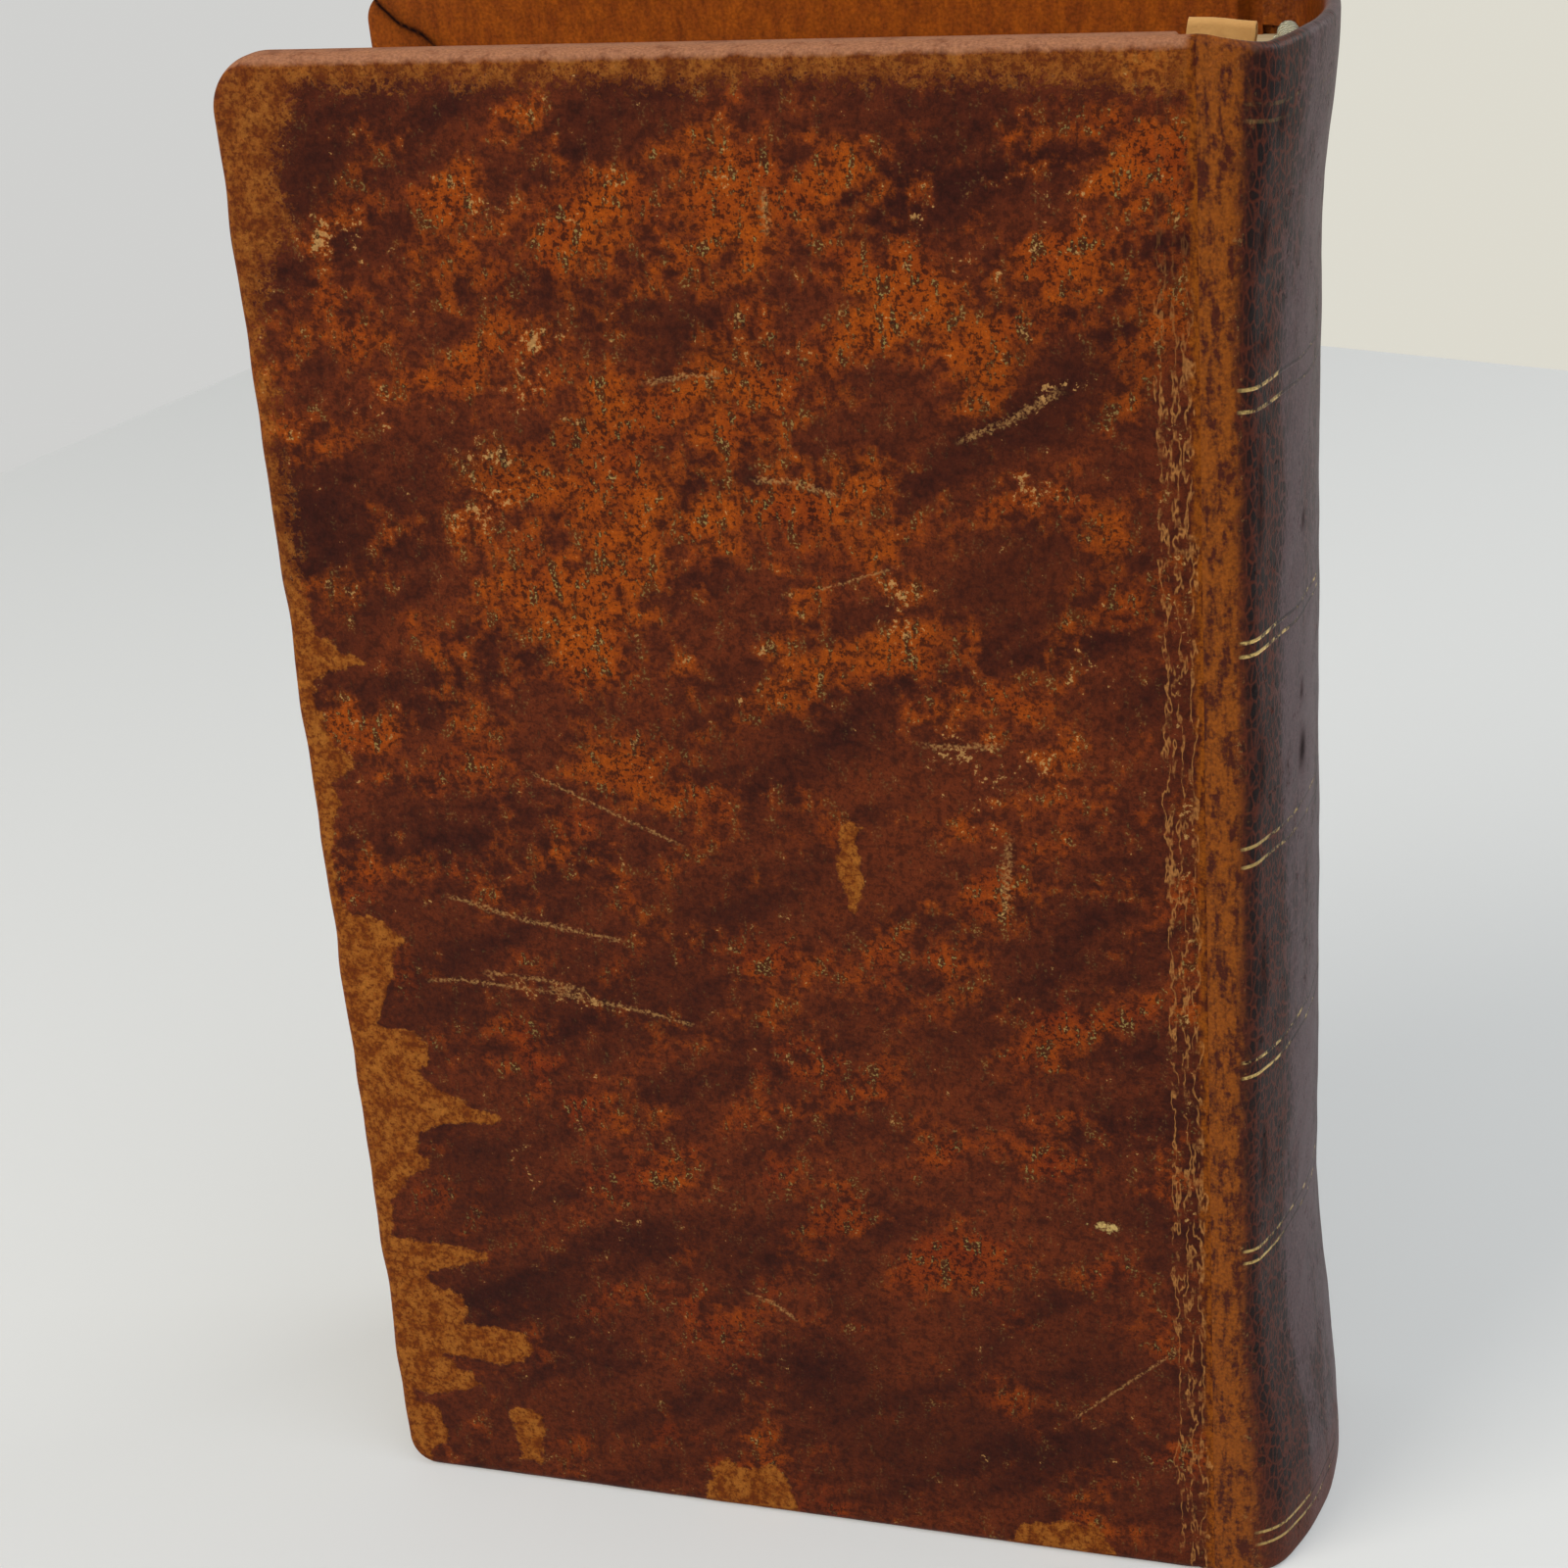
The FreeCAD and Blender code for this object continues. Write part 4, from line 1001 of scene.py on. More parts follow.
@dataclass(frozen=True)
class SpineShape:
    """The rounded outline of the spine, plain along its height and flared at both caps."""

    hinge_x: float
    crown_x: float
    radius: float = 61.4
    shoulder_radius: float = 3.4
    shoulder_half: float = 21.7
    cap_flare: float = 2.9
    cap_radius: float = 52.0
    cap_shoulder_radius: float = 7.0
    headcap_z: float = 178.7
    headcap_opening: float = 0.65
    tail_flare_height: float = 42.0
    head_flare_height: float = 24.0
    skin: float = 0.9
    # Lengths along the plain spine: before the first station, and over each of the next three.
    stretches: tuple[float, float, float, float] = (1.5, 2.1, 4.2, 19.7)

    def opening(self, z: Grid) -> Grid:
        """How far the caps flare at each height: 1 at the tail's lip, 0 along the plain spine."""
        tail = smooth(-z, -self.tail_flare_height, 0.0)
        head = smooth(z, self.headcap_z - self.head_flare_height, self.headcap_z)
        return tail + self.headcap_opening * head

    def outline(self, station: Grid, z: Grid, inset: Grid | float, start_x: float) -> tuple[Grid, Grid]:
        """Places on the spine's outline.

        Args:
            station: From 0 at the back joint over 1 and 2 at the ends of the shoulder's round to 3
                at the crown, and on to 6 at the front joint.
            z: Heights.
            inset: Depths below the leather's surface.
            start_x: Where the leather of the spine begins.

        Returns:
            Places along the book and across it.
        """
        opening = self.opening(z)
        crown_radius = self.radius + opening * (self.cap_radius - self.radius)
        corner_radius = self.shoulder_radius + opening * (self.cap_shoulder_radius - self.shoulder_radius)
        centre_x = self.crown_x + opening * self.cap_flare - crown_radius
        corner_y = self.shoulder_half - corner_radius
        corner_x = centre_x + np.sqrt((crown_radius - corner_radius) ** 2 - corner_y ** 2)
        swing = np.arctan2(corner_y, corner_x - centre_x)
        u = 3 - np.abs(station - 3)
        bend = math.pi / 2 - (math.pi / 2 - swing) * np.clip(u - 1, 0, 1)
        sweep = swing * (3 - np.clip(u, 2, 3))
        flat = u <= 1
        corner = (u > 1) & (u <= 2)
        x = np.where(flat, start_x + (corner_x - start_x) * u,
                     np.where(corner, corner_x + (corner_radius - inset) * np.cos(bend),
                              centre_x + (crown_radius - inset) * np.cos(sweep)))
        y = np.where(flat, self.shoulder_half - inset,
                     np.where(corner, corner_y + (corner_radius - inset) * np.sin(bend),
                              (crown_radius - inset) * np.sin(sweep)))
        return x, np.where(station < 3, -y, y)

    def past_joint(self, station: Grid) -> Grid:
        """Distance along the surface from the hinge line, on the plain spine."""
        u = 3 - np.abs(station - 3)
        start, *lengths = self.stretches
        return start + sum(length * np.clip(u - n, 0, 1) for n, length in enumerate(lengths))


@dataclass
class CoverLeather:
    """Leather of one cover: drawn over the board, round its edges and over the joint."""

    side: Side
    marks: CoverMarks
    head_corner: float
    tail_corner: float = 4.0
    skin: float = 0.8
    turned_skin: float = 0.5
    turn_in: float = 12.0
    edge_round: float = 1.2
    board_end: float = 0.9  # the board stops this far before the hinge line
    joint_reach: float = 1.5  # the leather runs on this far past the hinge line
    joint_thickness: float = 1.7  # where the leather is folded double at the joint's ends
    joint_drop: float = 0.3
    groove: tuple[float, float] = (0.22, 1.1)  # depth and width of the joint's groove
    swell: tuple[float, float] = (0.10, 42.0)  # height and length of the leather's broad waves
    ripple: tuple[float, float] = (0.025, 6.0)  # and of its fine ones
    nibble: tuple[float, float] = (0.16, 9.0)  # and of the wear along its edges
    pitch: float = 0.9
    streak_tilt: float = 26.0  # degrees by which the streams of the stain climb towards the spine
    hinge_x: float = field(init=False)
    fore_x: float = field(init=False)
    height: float = field(init=False)
    depth: float = field(init=False)
    outer_y: float = field(init=False)

    def __post_init__(self) -> None:
        """Reads the cover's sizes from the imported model."""
        low, high = corners(f"{self.side.word}_cover_leather")
        self.hinge_x = hinge_line(self.side.body)
        self.fore_x = low[0]
        self.height = high[2] - low[2]
        self.depth = high[1] - low[1]
        self.outer_y = low[1] if self.side is Side.BACK else high[1]

    def slab_depth(self, x: Grid) -> Grid:
        """Thickness of the wrapped cover, which falls to the folded leather past the board."""
        start = self.hinge_x - self.board_end
        return self.depth - (self.depth - self.joint_thickness) * smooth(x, start - 0.05, start + 0.85)

    def surface(self, lattice: Grid, thickness: Grid) -> Grid:
        """Places lattice points on the rounded cover.

        Args:
            lattice: Places along, across as a share of the depth, and up.
            thickness: How deep below the outer surface each point lies.

        Returns:
            Points in the book's frame.
        """
        x, share, z = lattice.T
        slab = self.slab_depth(x)
        edge = np.minimum(self.edge_round, slab / 2)
        corner = np.where(z > self.height / 2, self.head_corner, self.tail_corner)
        middle_x = np.maximum(x, self.fore_x + corner)
        middle_z = np.clip(z, corner, self.height - corner)
        reach = np.maximum(np.hypot(x - middle_x, z - middle_z), 1e-9)
        shrink = np.minimum(1.0, (corner - edge) / reach)
        core = np.column_stack([middle_x + (x - middle_x) * shrink, np.clip(share * slab, edge, slab - edge),
                                middle_z + (z - middle_z) * shrink])
        outward = np.column_stack([x, share * slab, z]) - core
        outward /= np.linalg.norm(outward, axis=1)[:, None]
        placed = core + outward * (edge - thickness)[:, None]

        past = x - self.hinge_x
        depth, width = self.groove
        groove = depth * np.exp(-(past / width) ** 2) * (1 - share)
        drop = self.joint_drop * smooth(past, -0.6, self.joint_reach)
        placed[:, 1] += groove + drop
        flat = np.column_stack([placed[:, 0], np.zeros(len(x)), placed[:, 2]])
        seed = 11 if self.side is Side.BACK else 23
        swell, ripple, nibble = (size * unevenness(flat, length, seed + n) for n, (size, length) in
                                 enumerate((self.swell, self.ripple, self.nibble)))
        calm = smooth(-np.abs(past), -6.0, -1.0)
        placed[:, 1] += (swell + ripple) * (1 - calm)
        near_end = np.abs(z - self.height / 2) - self.height / 2 + 3
        worn = smooth(np.maximum(self.fore_x + 3 - x, near_end), 0.0, 2.0)
        placed[:, 0] += worn * nibble * (past < -4)
        placed[:, 1] = self.outer_y - self.side.value * placed[:, 1]
        return placed

    def build(self) -> bpy.types.Object:
        """Makes the leather as one closed sheet.

        Returns:
            The piece.
        """
        end_x = self.hinge_x + self.joint_reach
        fine = self.edge_round / 4
        xs = steps((self.fore_x, fine), (self.fore_x + 1.5, 0.5), (self.fore_x + self.turn_in, self.pitch),
                   (self.hinge_x - 4, 0.45), (self.hinge_x - 1.2, 0.2), (end_x, 0.2))
        zs = steps((0.0, fine), (1.5, 0.5), (self.turn_in, self.pitch), (self.height - self.turn_in, 0.5),
                   (self.height - 1.5, fine), (self.height, fine))
        shares = np.array([0.0, 0.08, 0.16, 0.24, 0.31, 0.5, 0.69, 0.76, 0.84, 0.92, 1.0])
        ring_x = xs[xs <= self.fore_x + self.turn_in + 1e-6]
        rest_x = xs[xs >= self.fore_x + self.turn_in - 1e-6]
        low_z = zs[zs <= self.turn_in + 1e-6]
        high_z = zs[zs >= self.height - self.turn_in - 1e-6]

        outside, inside = np.zeros(1), np.ones(1)
        lattice, quads = weld([
            (lattice_over(xs, outside, zs), True),
            (lattice_over(xs[:1], shares, zs), True),
            (lattice_over(xs, shares, zs[:1]), False),
            (lattice_over(xs, shares, zs[-1:]), True),
            (lattice_over(ring_x, inside, zs), False),
            (lattice_over(rest_x, inside, low_z), False),
            (lattice_over(rest_x, inside, high_z), False),
        ])
        thickness = self.skin + (self.turned_skin - self.skin) * lattice[:, 1]
        outer = self.surface(lattice, np.zeros(len(lattice)))
        points, faces = thickened(outer, self.surface(lattice, thickness), quads)
        if self.side is Side.FRONT:
            faces = faces[:, ::-1]
        return make_piece(f"{self.side.word}_cover_hide", points, faces, both_layers(self.wear(lattice)))

    def wear(self, lattice: Grid) -> dict[str, Grid]:
        """Stain, wear and marks at each point, for the finish.

        Args:
            lattice: Places along, across as a share of the depth, and up.

        Returns:
            Values by the names that the finish reads.
        """
        x, share, z = lattice.T
        side, near = self.marks.scratch_side(x, z)
        on_face = share < 0.02
        from_end = np.minimum(z, self.height - z)
        from_edge = np.minimum(x - self.fore_x, from_end)
        place = np.column_stack([x, share * 6.0 + (self.side.value + 1) * 45.0, z])
        shift = [clouds(place, (26.0, 26.0, 26.0), 0.0, 2, 3 + n) - 0.5 for n in range(3)]
        bent = place + 5.0 * np.column_stack(shift)
        stream = clouds(bent, (30.0, 20.0, 8.0), self.streak_tilt, 5, 1)
        veins = clouds(bent, (11.0, 9.0, 2.2), self.streak_tilt, 2, 9)
        stream = 0.75 * stream + 0.4 * (veins - 0.2)
        lumps = clouds(place, (11.0, 11.0, 8.0), self.streak_tilt, 5, 2)
        glow = clouds(place, (9.0, 9.0, 7.0), self.streak_tilt, 4, 6)
        covered = {kind: self.marks.coverage(getattr(self.marks, kind), x, z)
                   for kind in ("islands", "shades", "scuffs", "gold")}
        upper_left = 0.25 + 0.75 * smooth(z, 60.0, 120.0) * smooth(-x, -35.0, 5.0)
        # The turned-in leather is cut and overlaps along a crooked line from each corner; painted shade
        # darkens that crease.
        skew = (x - self.fore_x) - 1.3 * from_end + 0.5 * np.sin(x * 0.9)
        mitre = 0.85 * np.exp(-(skew / 0.45) ** 2) + 0.3 * np.exp(-(skew / 2.2) ** 2)
        return {
            "hide_place": place,
            "past_joint": x - self.hinge_x,
            "wear": np.where(on_face, self.marks.loss_depth(x, z), 3.0),
            "stipple": 0.1 + 0.9 * smooth(z, 112.0, 124.0),
            "stream": stream,
            "islands": 0.7 * covered["islands"] + 1.3 * (lumps - 0.5) + 0.5 * (stream - 0.5),
            "glow": 0.75 * (glow - 0.2) + 0.35 * smooth(z, 40.0, 125.0),
            "shades": covered["shades"],
            "scuffs": covered["scuffs"] + 0.45 * smooth(lumps, 0.5, 0.8) * upper_left,
            "gold": covered["gold"],
            "scratch_side": side,
            "scratch_near": near * on_face,
            # Lightened edges: partly rubbed wear, partly painted highlight.
            "edge": smooth(z, self.height - 2.2, self.height - 0.6) + 0.3 * smooth(-from_edge, -1.4, -0.4),
            "fillet_lean": np.zeros(len(x)),
            # Painted shade along the mitre crease, on the inner face only.
            "pits": smooth(share, 0.6, 1.0) * mitre,
            "turned_in": smooth(share, 0.55, 0.95),
        }


@dataclass
class SpineLeather:
    """Leather of the spine, folded double and flared at the tail cap and the headcap."""

    shape: SpineShape
    leaf_tail_z: float
    leaf_head_z: float
    # A worm hole and dents on the back cover's half, shown by painted shade and not cut, by distance past the
    # hinge line and height.
    pits: tuple[Blot, ...] = blots(
        (20.4, 101.2, 1.3, 1.9), (20.5, 108.0, 0.6, 1.0, 0, 0.7), (21.0, 127.0, 0.6, 0.9, 0, 0.7),
        (8.4, 160.0, 0.9, 2.6, 0, 0.7), (9.4, 171.0, 1.1, 1.6, 0, 0.6), (8.2, 134.0, 0.6, 6.5, 0, 0.6),
        (9.0, 149.0, 1.4, 1.0, 0, 0.5), (8.0, 104.0, 0.7, 4.0, 0, 0.5), (8.4, 80.0, 0.8, 5.0, 0, 0.5),
        (8.8, 56.0, 0.8, 4.0, 0, 0.5),
    )
    joint_reach: float = 1.5
    headcap_drop: float = 1.3  # how far the cap lies below the covers' head edge
    rubbed_head: float = 174.7  # the leather is worn to tan above this height
    swell: tuple[float, float] = (0.16, 38.0)  # height and length of the leather's broad waves
    ripple: tuple[float, float] = (0.05, 7.0)  # and of its fine ones
    pitch: float = 0.9

    def section(self) -> tuple[Grid, Grid, Grid, Grid]:
        """The sheet's path up the spine, from its turned-in tail end to its turned-in head end.

        Returns:
            Heights and depths of the outer surface, then those of the inner surface.
        """
        skin, top = self.shape.skin, self.shape.headcap_z
        fold = 2 * skin - 0.1
        lip = fold / 2
        turn = np.linspace(0, math.pi, 9)
        rise = steps((lip, 0.5), (8.0, self.pitch), (top - 8.0, 0.5), (top - lip, 0.5))
        tail_lip = lip - lip * np.sin(turn[:-1])
        head_lip = top - lip + lip * np.sin(turn[1:])
        tail_in = np.linspace(self.leaf_tail_z - 0.1, lip, 5)[:-1]
        head_in = np.linspace(top - lip, self.leaf_head_z + 0.1, 7)[1:]
        z_outer = np.concatenate([tail_in, tail_lip, rise, head_lip, head_in])
        inset_outer = np.concatenate([
            np.full(len(tail_in), fold), lip + lip * np.cos(turn[:-1]), np.zeros(len(rise)),
            lip - lip * np.cos(turn[1:]), np.full(len(head_in), fold)])
        z_inner = np.concatenate([tail_in, np.full(len(tail_lip), lip), rise,
                                  np.full(len(head_lip), top - lip), head_in])
        nearly = lip - 0.02
        inset_inner = np.concatenate([
            np.full(len(tail_in), fold - nearly), np.linspace(fold - nearly, nearly, len(tail_lip)),
            np.full(len(rise), skin), np.linspace(nearly, fold - nearly, len(head_lip)),
            np.full(len(head_in), fold - nearly)])
        inset_inner[len(tail_in) + len(tail_lip)] = nearly
        inset_inner[-len(head_in) - len(head_lip) - 1] = nearly
        return z_outer, inset_outer, z_inner, inset_inner

    def layer(self, station: Grid, z: Grid, inset: Grid) -> Grid:
        """Points on one surface of the sheet.

        Args:
            station: Stations on the spine's outline.
            z: Heights on the path.
            inset: Depths below the outer surface.

        Returns:
            The points, one per row.
        """
        shape = self.shape
        x, y = shape.outline(station, z, inset, shape.hinge_x + self.joint_reach)
        placed = np.column_stack([x, y, z])
        swell, ripple = (size * unevenness(placed, length, 5 + n) for n, (size, length) in
                         enumerate((self.swell, self.ripple)))
        placed[:, 0] += smooth(3 - np.abs(station - 3), 0.3, 2.0) * (swell + ripple)
        rise = self.headcap_drop * (1 - smooth(shape.past_joint(station), self.joint_reach, 8.0))
        placed[:, 2] += rise * smooth(z, shape.headcap_z - 16.0, shape.headcap_z)
        return placed

    def build(self) -> bpy.types.Object:
        """Makes the leather as one closed sheet.

        Returns:
            The piece.
        """
        half = steps((0.0, 0.25), (1.0, 0.125), (2.0, 1 / 44), (3.0, 1.0))
        stations = np.concatenate([half, 6 - half[-2::-1]])
        z_outer, inset_outer, z_inner, inset_inner = self.section()
        lattice, quads = weld([(lattice_over(stations, np.arange(len(z_outer)), np.zeros(1)), False)])
        station, row = lattice[:, 0], lattice[:, 1].astype(int)
        outer = self.layer(station, z_outer[row], inset_outer[row])
        inner = self.layer(station, z_inner[row], inset_inner[row])
        points, faces = thickened(outer, inner, quads)
        marks = self.wear(station, z_outer[row], inset_outer[row])
        return make_piece("spine_hide", points, faces, both_layers(marks))

    def wear(self, station: Grid, z: Grid, inset: Grid) -> dict[str, Grid]:
        """Stain, wear and marks at each point, for the finish.

        Args:
            station: Stations on the spine's outline.
            z: Heights on the path.
            inset: Depths below the outer surface.

        Returns:
            Values by the names that the finish reads.
        """
        shape, none = self.shape, np.zeros(len(z))
        x, y = shape.outline(station, z, none, shape.hinge_x + self.joint_reach)
        past = shape.past_joint(station)
        place = np.column_stack([x, y, z])
        lumps = clouds(place, (8.0, 8.0, 14.0), 0.0, 5, 2)
        glow = clouds(place, (7.0, 7.0, 26.0), 0.0, 4, 6)
        head_lip = smooth(z, shape.headcap_z - 2.5, shape.headcap_z - 0.4)
        return {
            "hide_place": place,
            "past_joint": past,
            "wear": np.minimum(z - self.rubbed_head, 2.0 - 0.9 * (past - self.joint_reach)),
            "stipple": none + 1.0,
            "stream": lumps,
            "islands": 0.5 * (lumps - 0.5) + 0.3 * smooth(-z, -60.0, -10.0),
            # On the spine this places the painted grey sheen band.
            "glow": 1.3 * (glow - 0.35) * smooth(past, 9.0, 15.0) + 0.75 * smooth(past, 10.0, 17.0) - 0.35,
            "shades": none,
            "fillet_lean": 0.02 * (past - 6.0) + 0.12 * np.sin(past * 0.5 + z * 0.2),
            "scuffs": none + 0.35,
            "gold": none,
            "scratch_side": none + 9.0,
            "scratch_near": none,
            # Lightened cap lips: partly rubbed wear, partly painted highlight.
            "edge": np.maximum(head_lip, 0.4 * smooth(-z, -2.0, -0.3)),
            # Painted shade of the worm hole and the dents.
            "pits": CoverMarks.coverage(self.pits, past, z) * (station < 3),
            "turned_in": 0.6 * smooth(inset, shape.skin, 2 * shape.skin - 0.1),
        }


@dataclass
class Leaves:
    """The sewn leaves: hollow fore-edge, rounded back with shoulders, slightly uneven gatherings."""

    shape: SpineShape
    hollow: float = 4.5
    block_inset: float = 1.3
    shoulder_gap: float = 0.15
    gathering: float = 2.2  # millimetres of thickness in one folded gathering
    paper_gap: float = 0.5  # the pasted paper and its clearance, between the cover and the leaves
    ragged: float = 0.07  # spread of the leaves' edges, in millimetres
    uneven_folds: float = 0.12  # spread of the gatherings' edges, in millimetres
    rows: tuple[int, int] = (95, 60)  # points across the thickness and up the height

    def build(self) -> bpy.types.Object:
        """Makes the block of leaves as one closed piece.

        Returns:
            The piece.
        """
        low, high = corners("text_block")
        leaf_half = -corners("back_cover_leather")[1][1] - self.paper_gap
        shoulder_half = self.shape.shoulder_half - self.block_inset
        shoulder_x = self.shape.hinge_x + self.shoulder_gap
        across = np.linspace(-1, 1, self.rows[0])
        along = steps((0.0, 0.025), (0.9, 0.01), (1.0, 0.01))
        up = np.linspace(0, 1, self.rows[1])
        first, last, one = np.zeros(1), np.ones(1), -np.ones(1)
        lattice, quads = weld([
            (lattice_over(along, across, last), False), (lattice_over(along, across, first), True),
            (lattice_over(first, across, up), True), (lattice_over(last, across, up), False),
            (lattice_over(along, one, up), True), (lattice_over(along, last, up), False),
        ])
        a, b, c = lattice.T
        dice = np.random.default_rng(3)
        ragged = np.interp(b, across, dice.normal(0, self.ragged, len(across)))
        gatherings = np.arange(-20, 21, self.gathering)
        folds = dice.normal(0, self.uneven_folds, len(gatherings))
        folds = np.interp(b * leaf_half, gatherings, folds)
        corner = self.shape.shoulder_radius - self.block_inset
        reach = shoulder_half - corner
        y_back = np.abs(b) * shoulder_half
        radius = self.shape.radius - self.block_inset
        centre_x = self.shape.crown_x - self.shape.radius
        bend_x = centre_x + math.sqrt((self.shape.radius - self.shape.shoulder_radius) ** 2 - reach ** 2)
        turn_y = radius * math.sin(math.atan2(reach, bend_x - centre_x))
        back_x = np.where(y_back < turn_y, centre_x + np.sqrt(radius ** 2 - np.minimum(y_back, turn_y) ** 2),
                          bend_x + np.sqrt(np.maximum(0, corner ** 2 - (y_back - reach) ** 2)))
        fore_radius = (leaf_half ** 2 + self.hollow ** 2) / (2 * self.hollow)
        y_fore = b * leaf_half
        fore_x = low[0] + self.hollow - fore_radius + np.sqrt(fore_radius ** 2 - y_fore ** 2)
        fore_x = fore_x + 0.35 * np.abs(ragged) + 0.5 * np.abs(folds)
        x = fore_x + (back_x - fore_x) * a
        swell = smooth(x, shoulder_x - 0.5, shoulder_x + 0.02)
        y = y_fore + b * (shoulder_half - leaf_half) * swell
        bottom = low[2] + 0.4 * np.abs(ragged)
        top = high[2] - 0.5 * np.abs(ragged) - 0.6 * np.abs(folds) * (1 - a)
        points = np.column_stack([x, y, bottom + (top - bottom) * c])
        return make_piece("leaves", points, quads, sharp_angle=40.0)


@dataclass
class Pastedown:
    """Paper pasted inside a cover and carried over the joint to the shoulder of the leaves."""

    cover: CoverLeather
    thickness: float = 0.2
    margin: float = 0.8
    ridge: float = 1.4  # millimetres in which the paper climbs from the board to the turned-in leather
    # Its fold down the joint: places past the end of the board, and heights above the cover's inside.
    fold: tuple[tuple[float, float], ...] = (
        (0.17, -0.03), (0.24, -0.3), (0.24, -1.0), (0.26, -1.9), (0.34, -2.45), (0.50, -2.6),
        (0.66, -2.45), (0.72, -1.9), (0.74, -1.0), (0.74, -0.3))

    def build(self) -> bpy.types.Object:
        """Makes the paper as one closed sheet.

        Returns:
            The piece.
        """
        cover = self.cover
        low, high = corners("text_block")
        board = cover.hinge_x - cover.board_end
        face = cover.depth + 0.03
        bare = cover.depth - cover.turned_skin + 0.05
        start = low[0] + self.margin
        ring, head_ring = cover.turn_in, cover.height - cover.turn_in
        ring_x = cover.fore_x + ring
        xs = steps((start, 0.9), (ring_x - 1, 0.35), (ring_x + 2, 2.0), (board - 2.0, 0.5),
                   (board + 0.05, 0.5))
        zs = steps((low[2] + self.margin, 0.9), (ring - 1, 0.35), (ring + 2, 2.0), (head_ring - 2, 0.35),
                   (head_ring + 1, 0.9), (high[2] - self.margin, 0.9))
        fold, level = np.array(self.fold), np.zeros(len(xs))
        columns = np.arange(len(xs) + len(fold))
        lattice, quads = weld([(lattice_over(columns, np.zeros(1), zs), True)])
        column, z = lattice[:, 0].astype(int), lattice[:, 2]
        over = np.minimum(smooth(z, ring - 0.2, ring + self.ridge),
                          smooth(-z, 0.2 - head_ring, self.ridge - head_ring))
        x_flat = np.append(xs, np.full(len(fold), board))[column]
        inland = smooth(x_flat, ring_x - 0.2, ring_x + self.ridge)
        depth = face - (face - bare) * np.minimum(over, inland)
        drop = np.append(level, fold[:, 1])
        depth = depth + drop[column] * (0.45 + 0.55 * over)
        turn = np.gradient(np.append(xs, board + fold[:, 0]))[column]
        normal = np.column_stack([-np.gradient(drop)[column], turn])
        normal *= self.thickness / np.linalg.norm(normal, axis=1)[:, None]
        x = x_flat + np.append(level, fold[:, 0])[column]
        outward = -cover.side.value
        below = np.column_stack([x, cover.outer_y + outward * depth, z])
        above = np.column_stack([x + normal[:, 0], cover.outer_y + outward * (depth + normal[:, 1]), z])
        points, faces = thickened(above, below, quads)
        if cover.side is Side.BACK:
            faces = faces[:, ::-1]
        return make_piece(f"{cover.side.word}_paste_paper", points, faces[:, ::-1], sharp_angle=60.0)


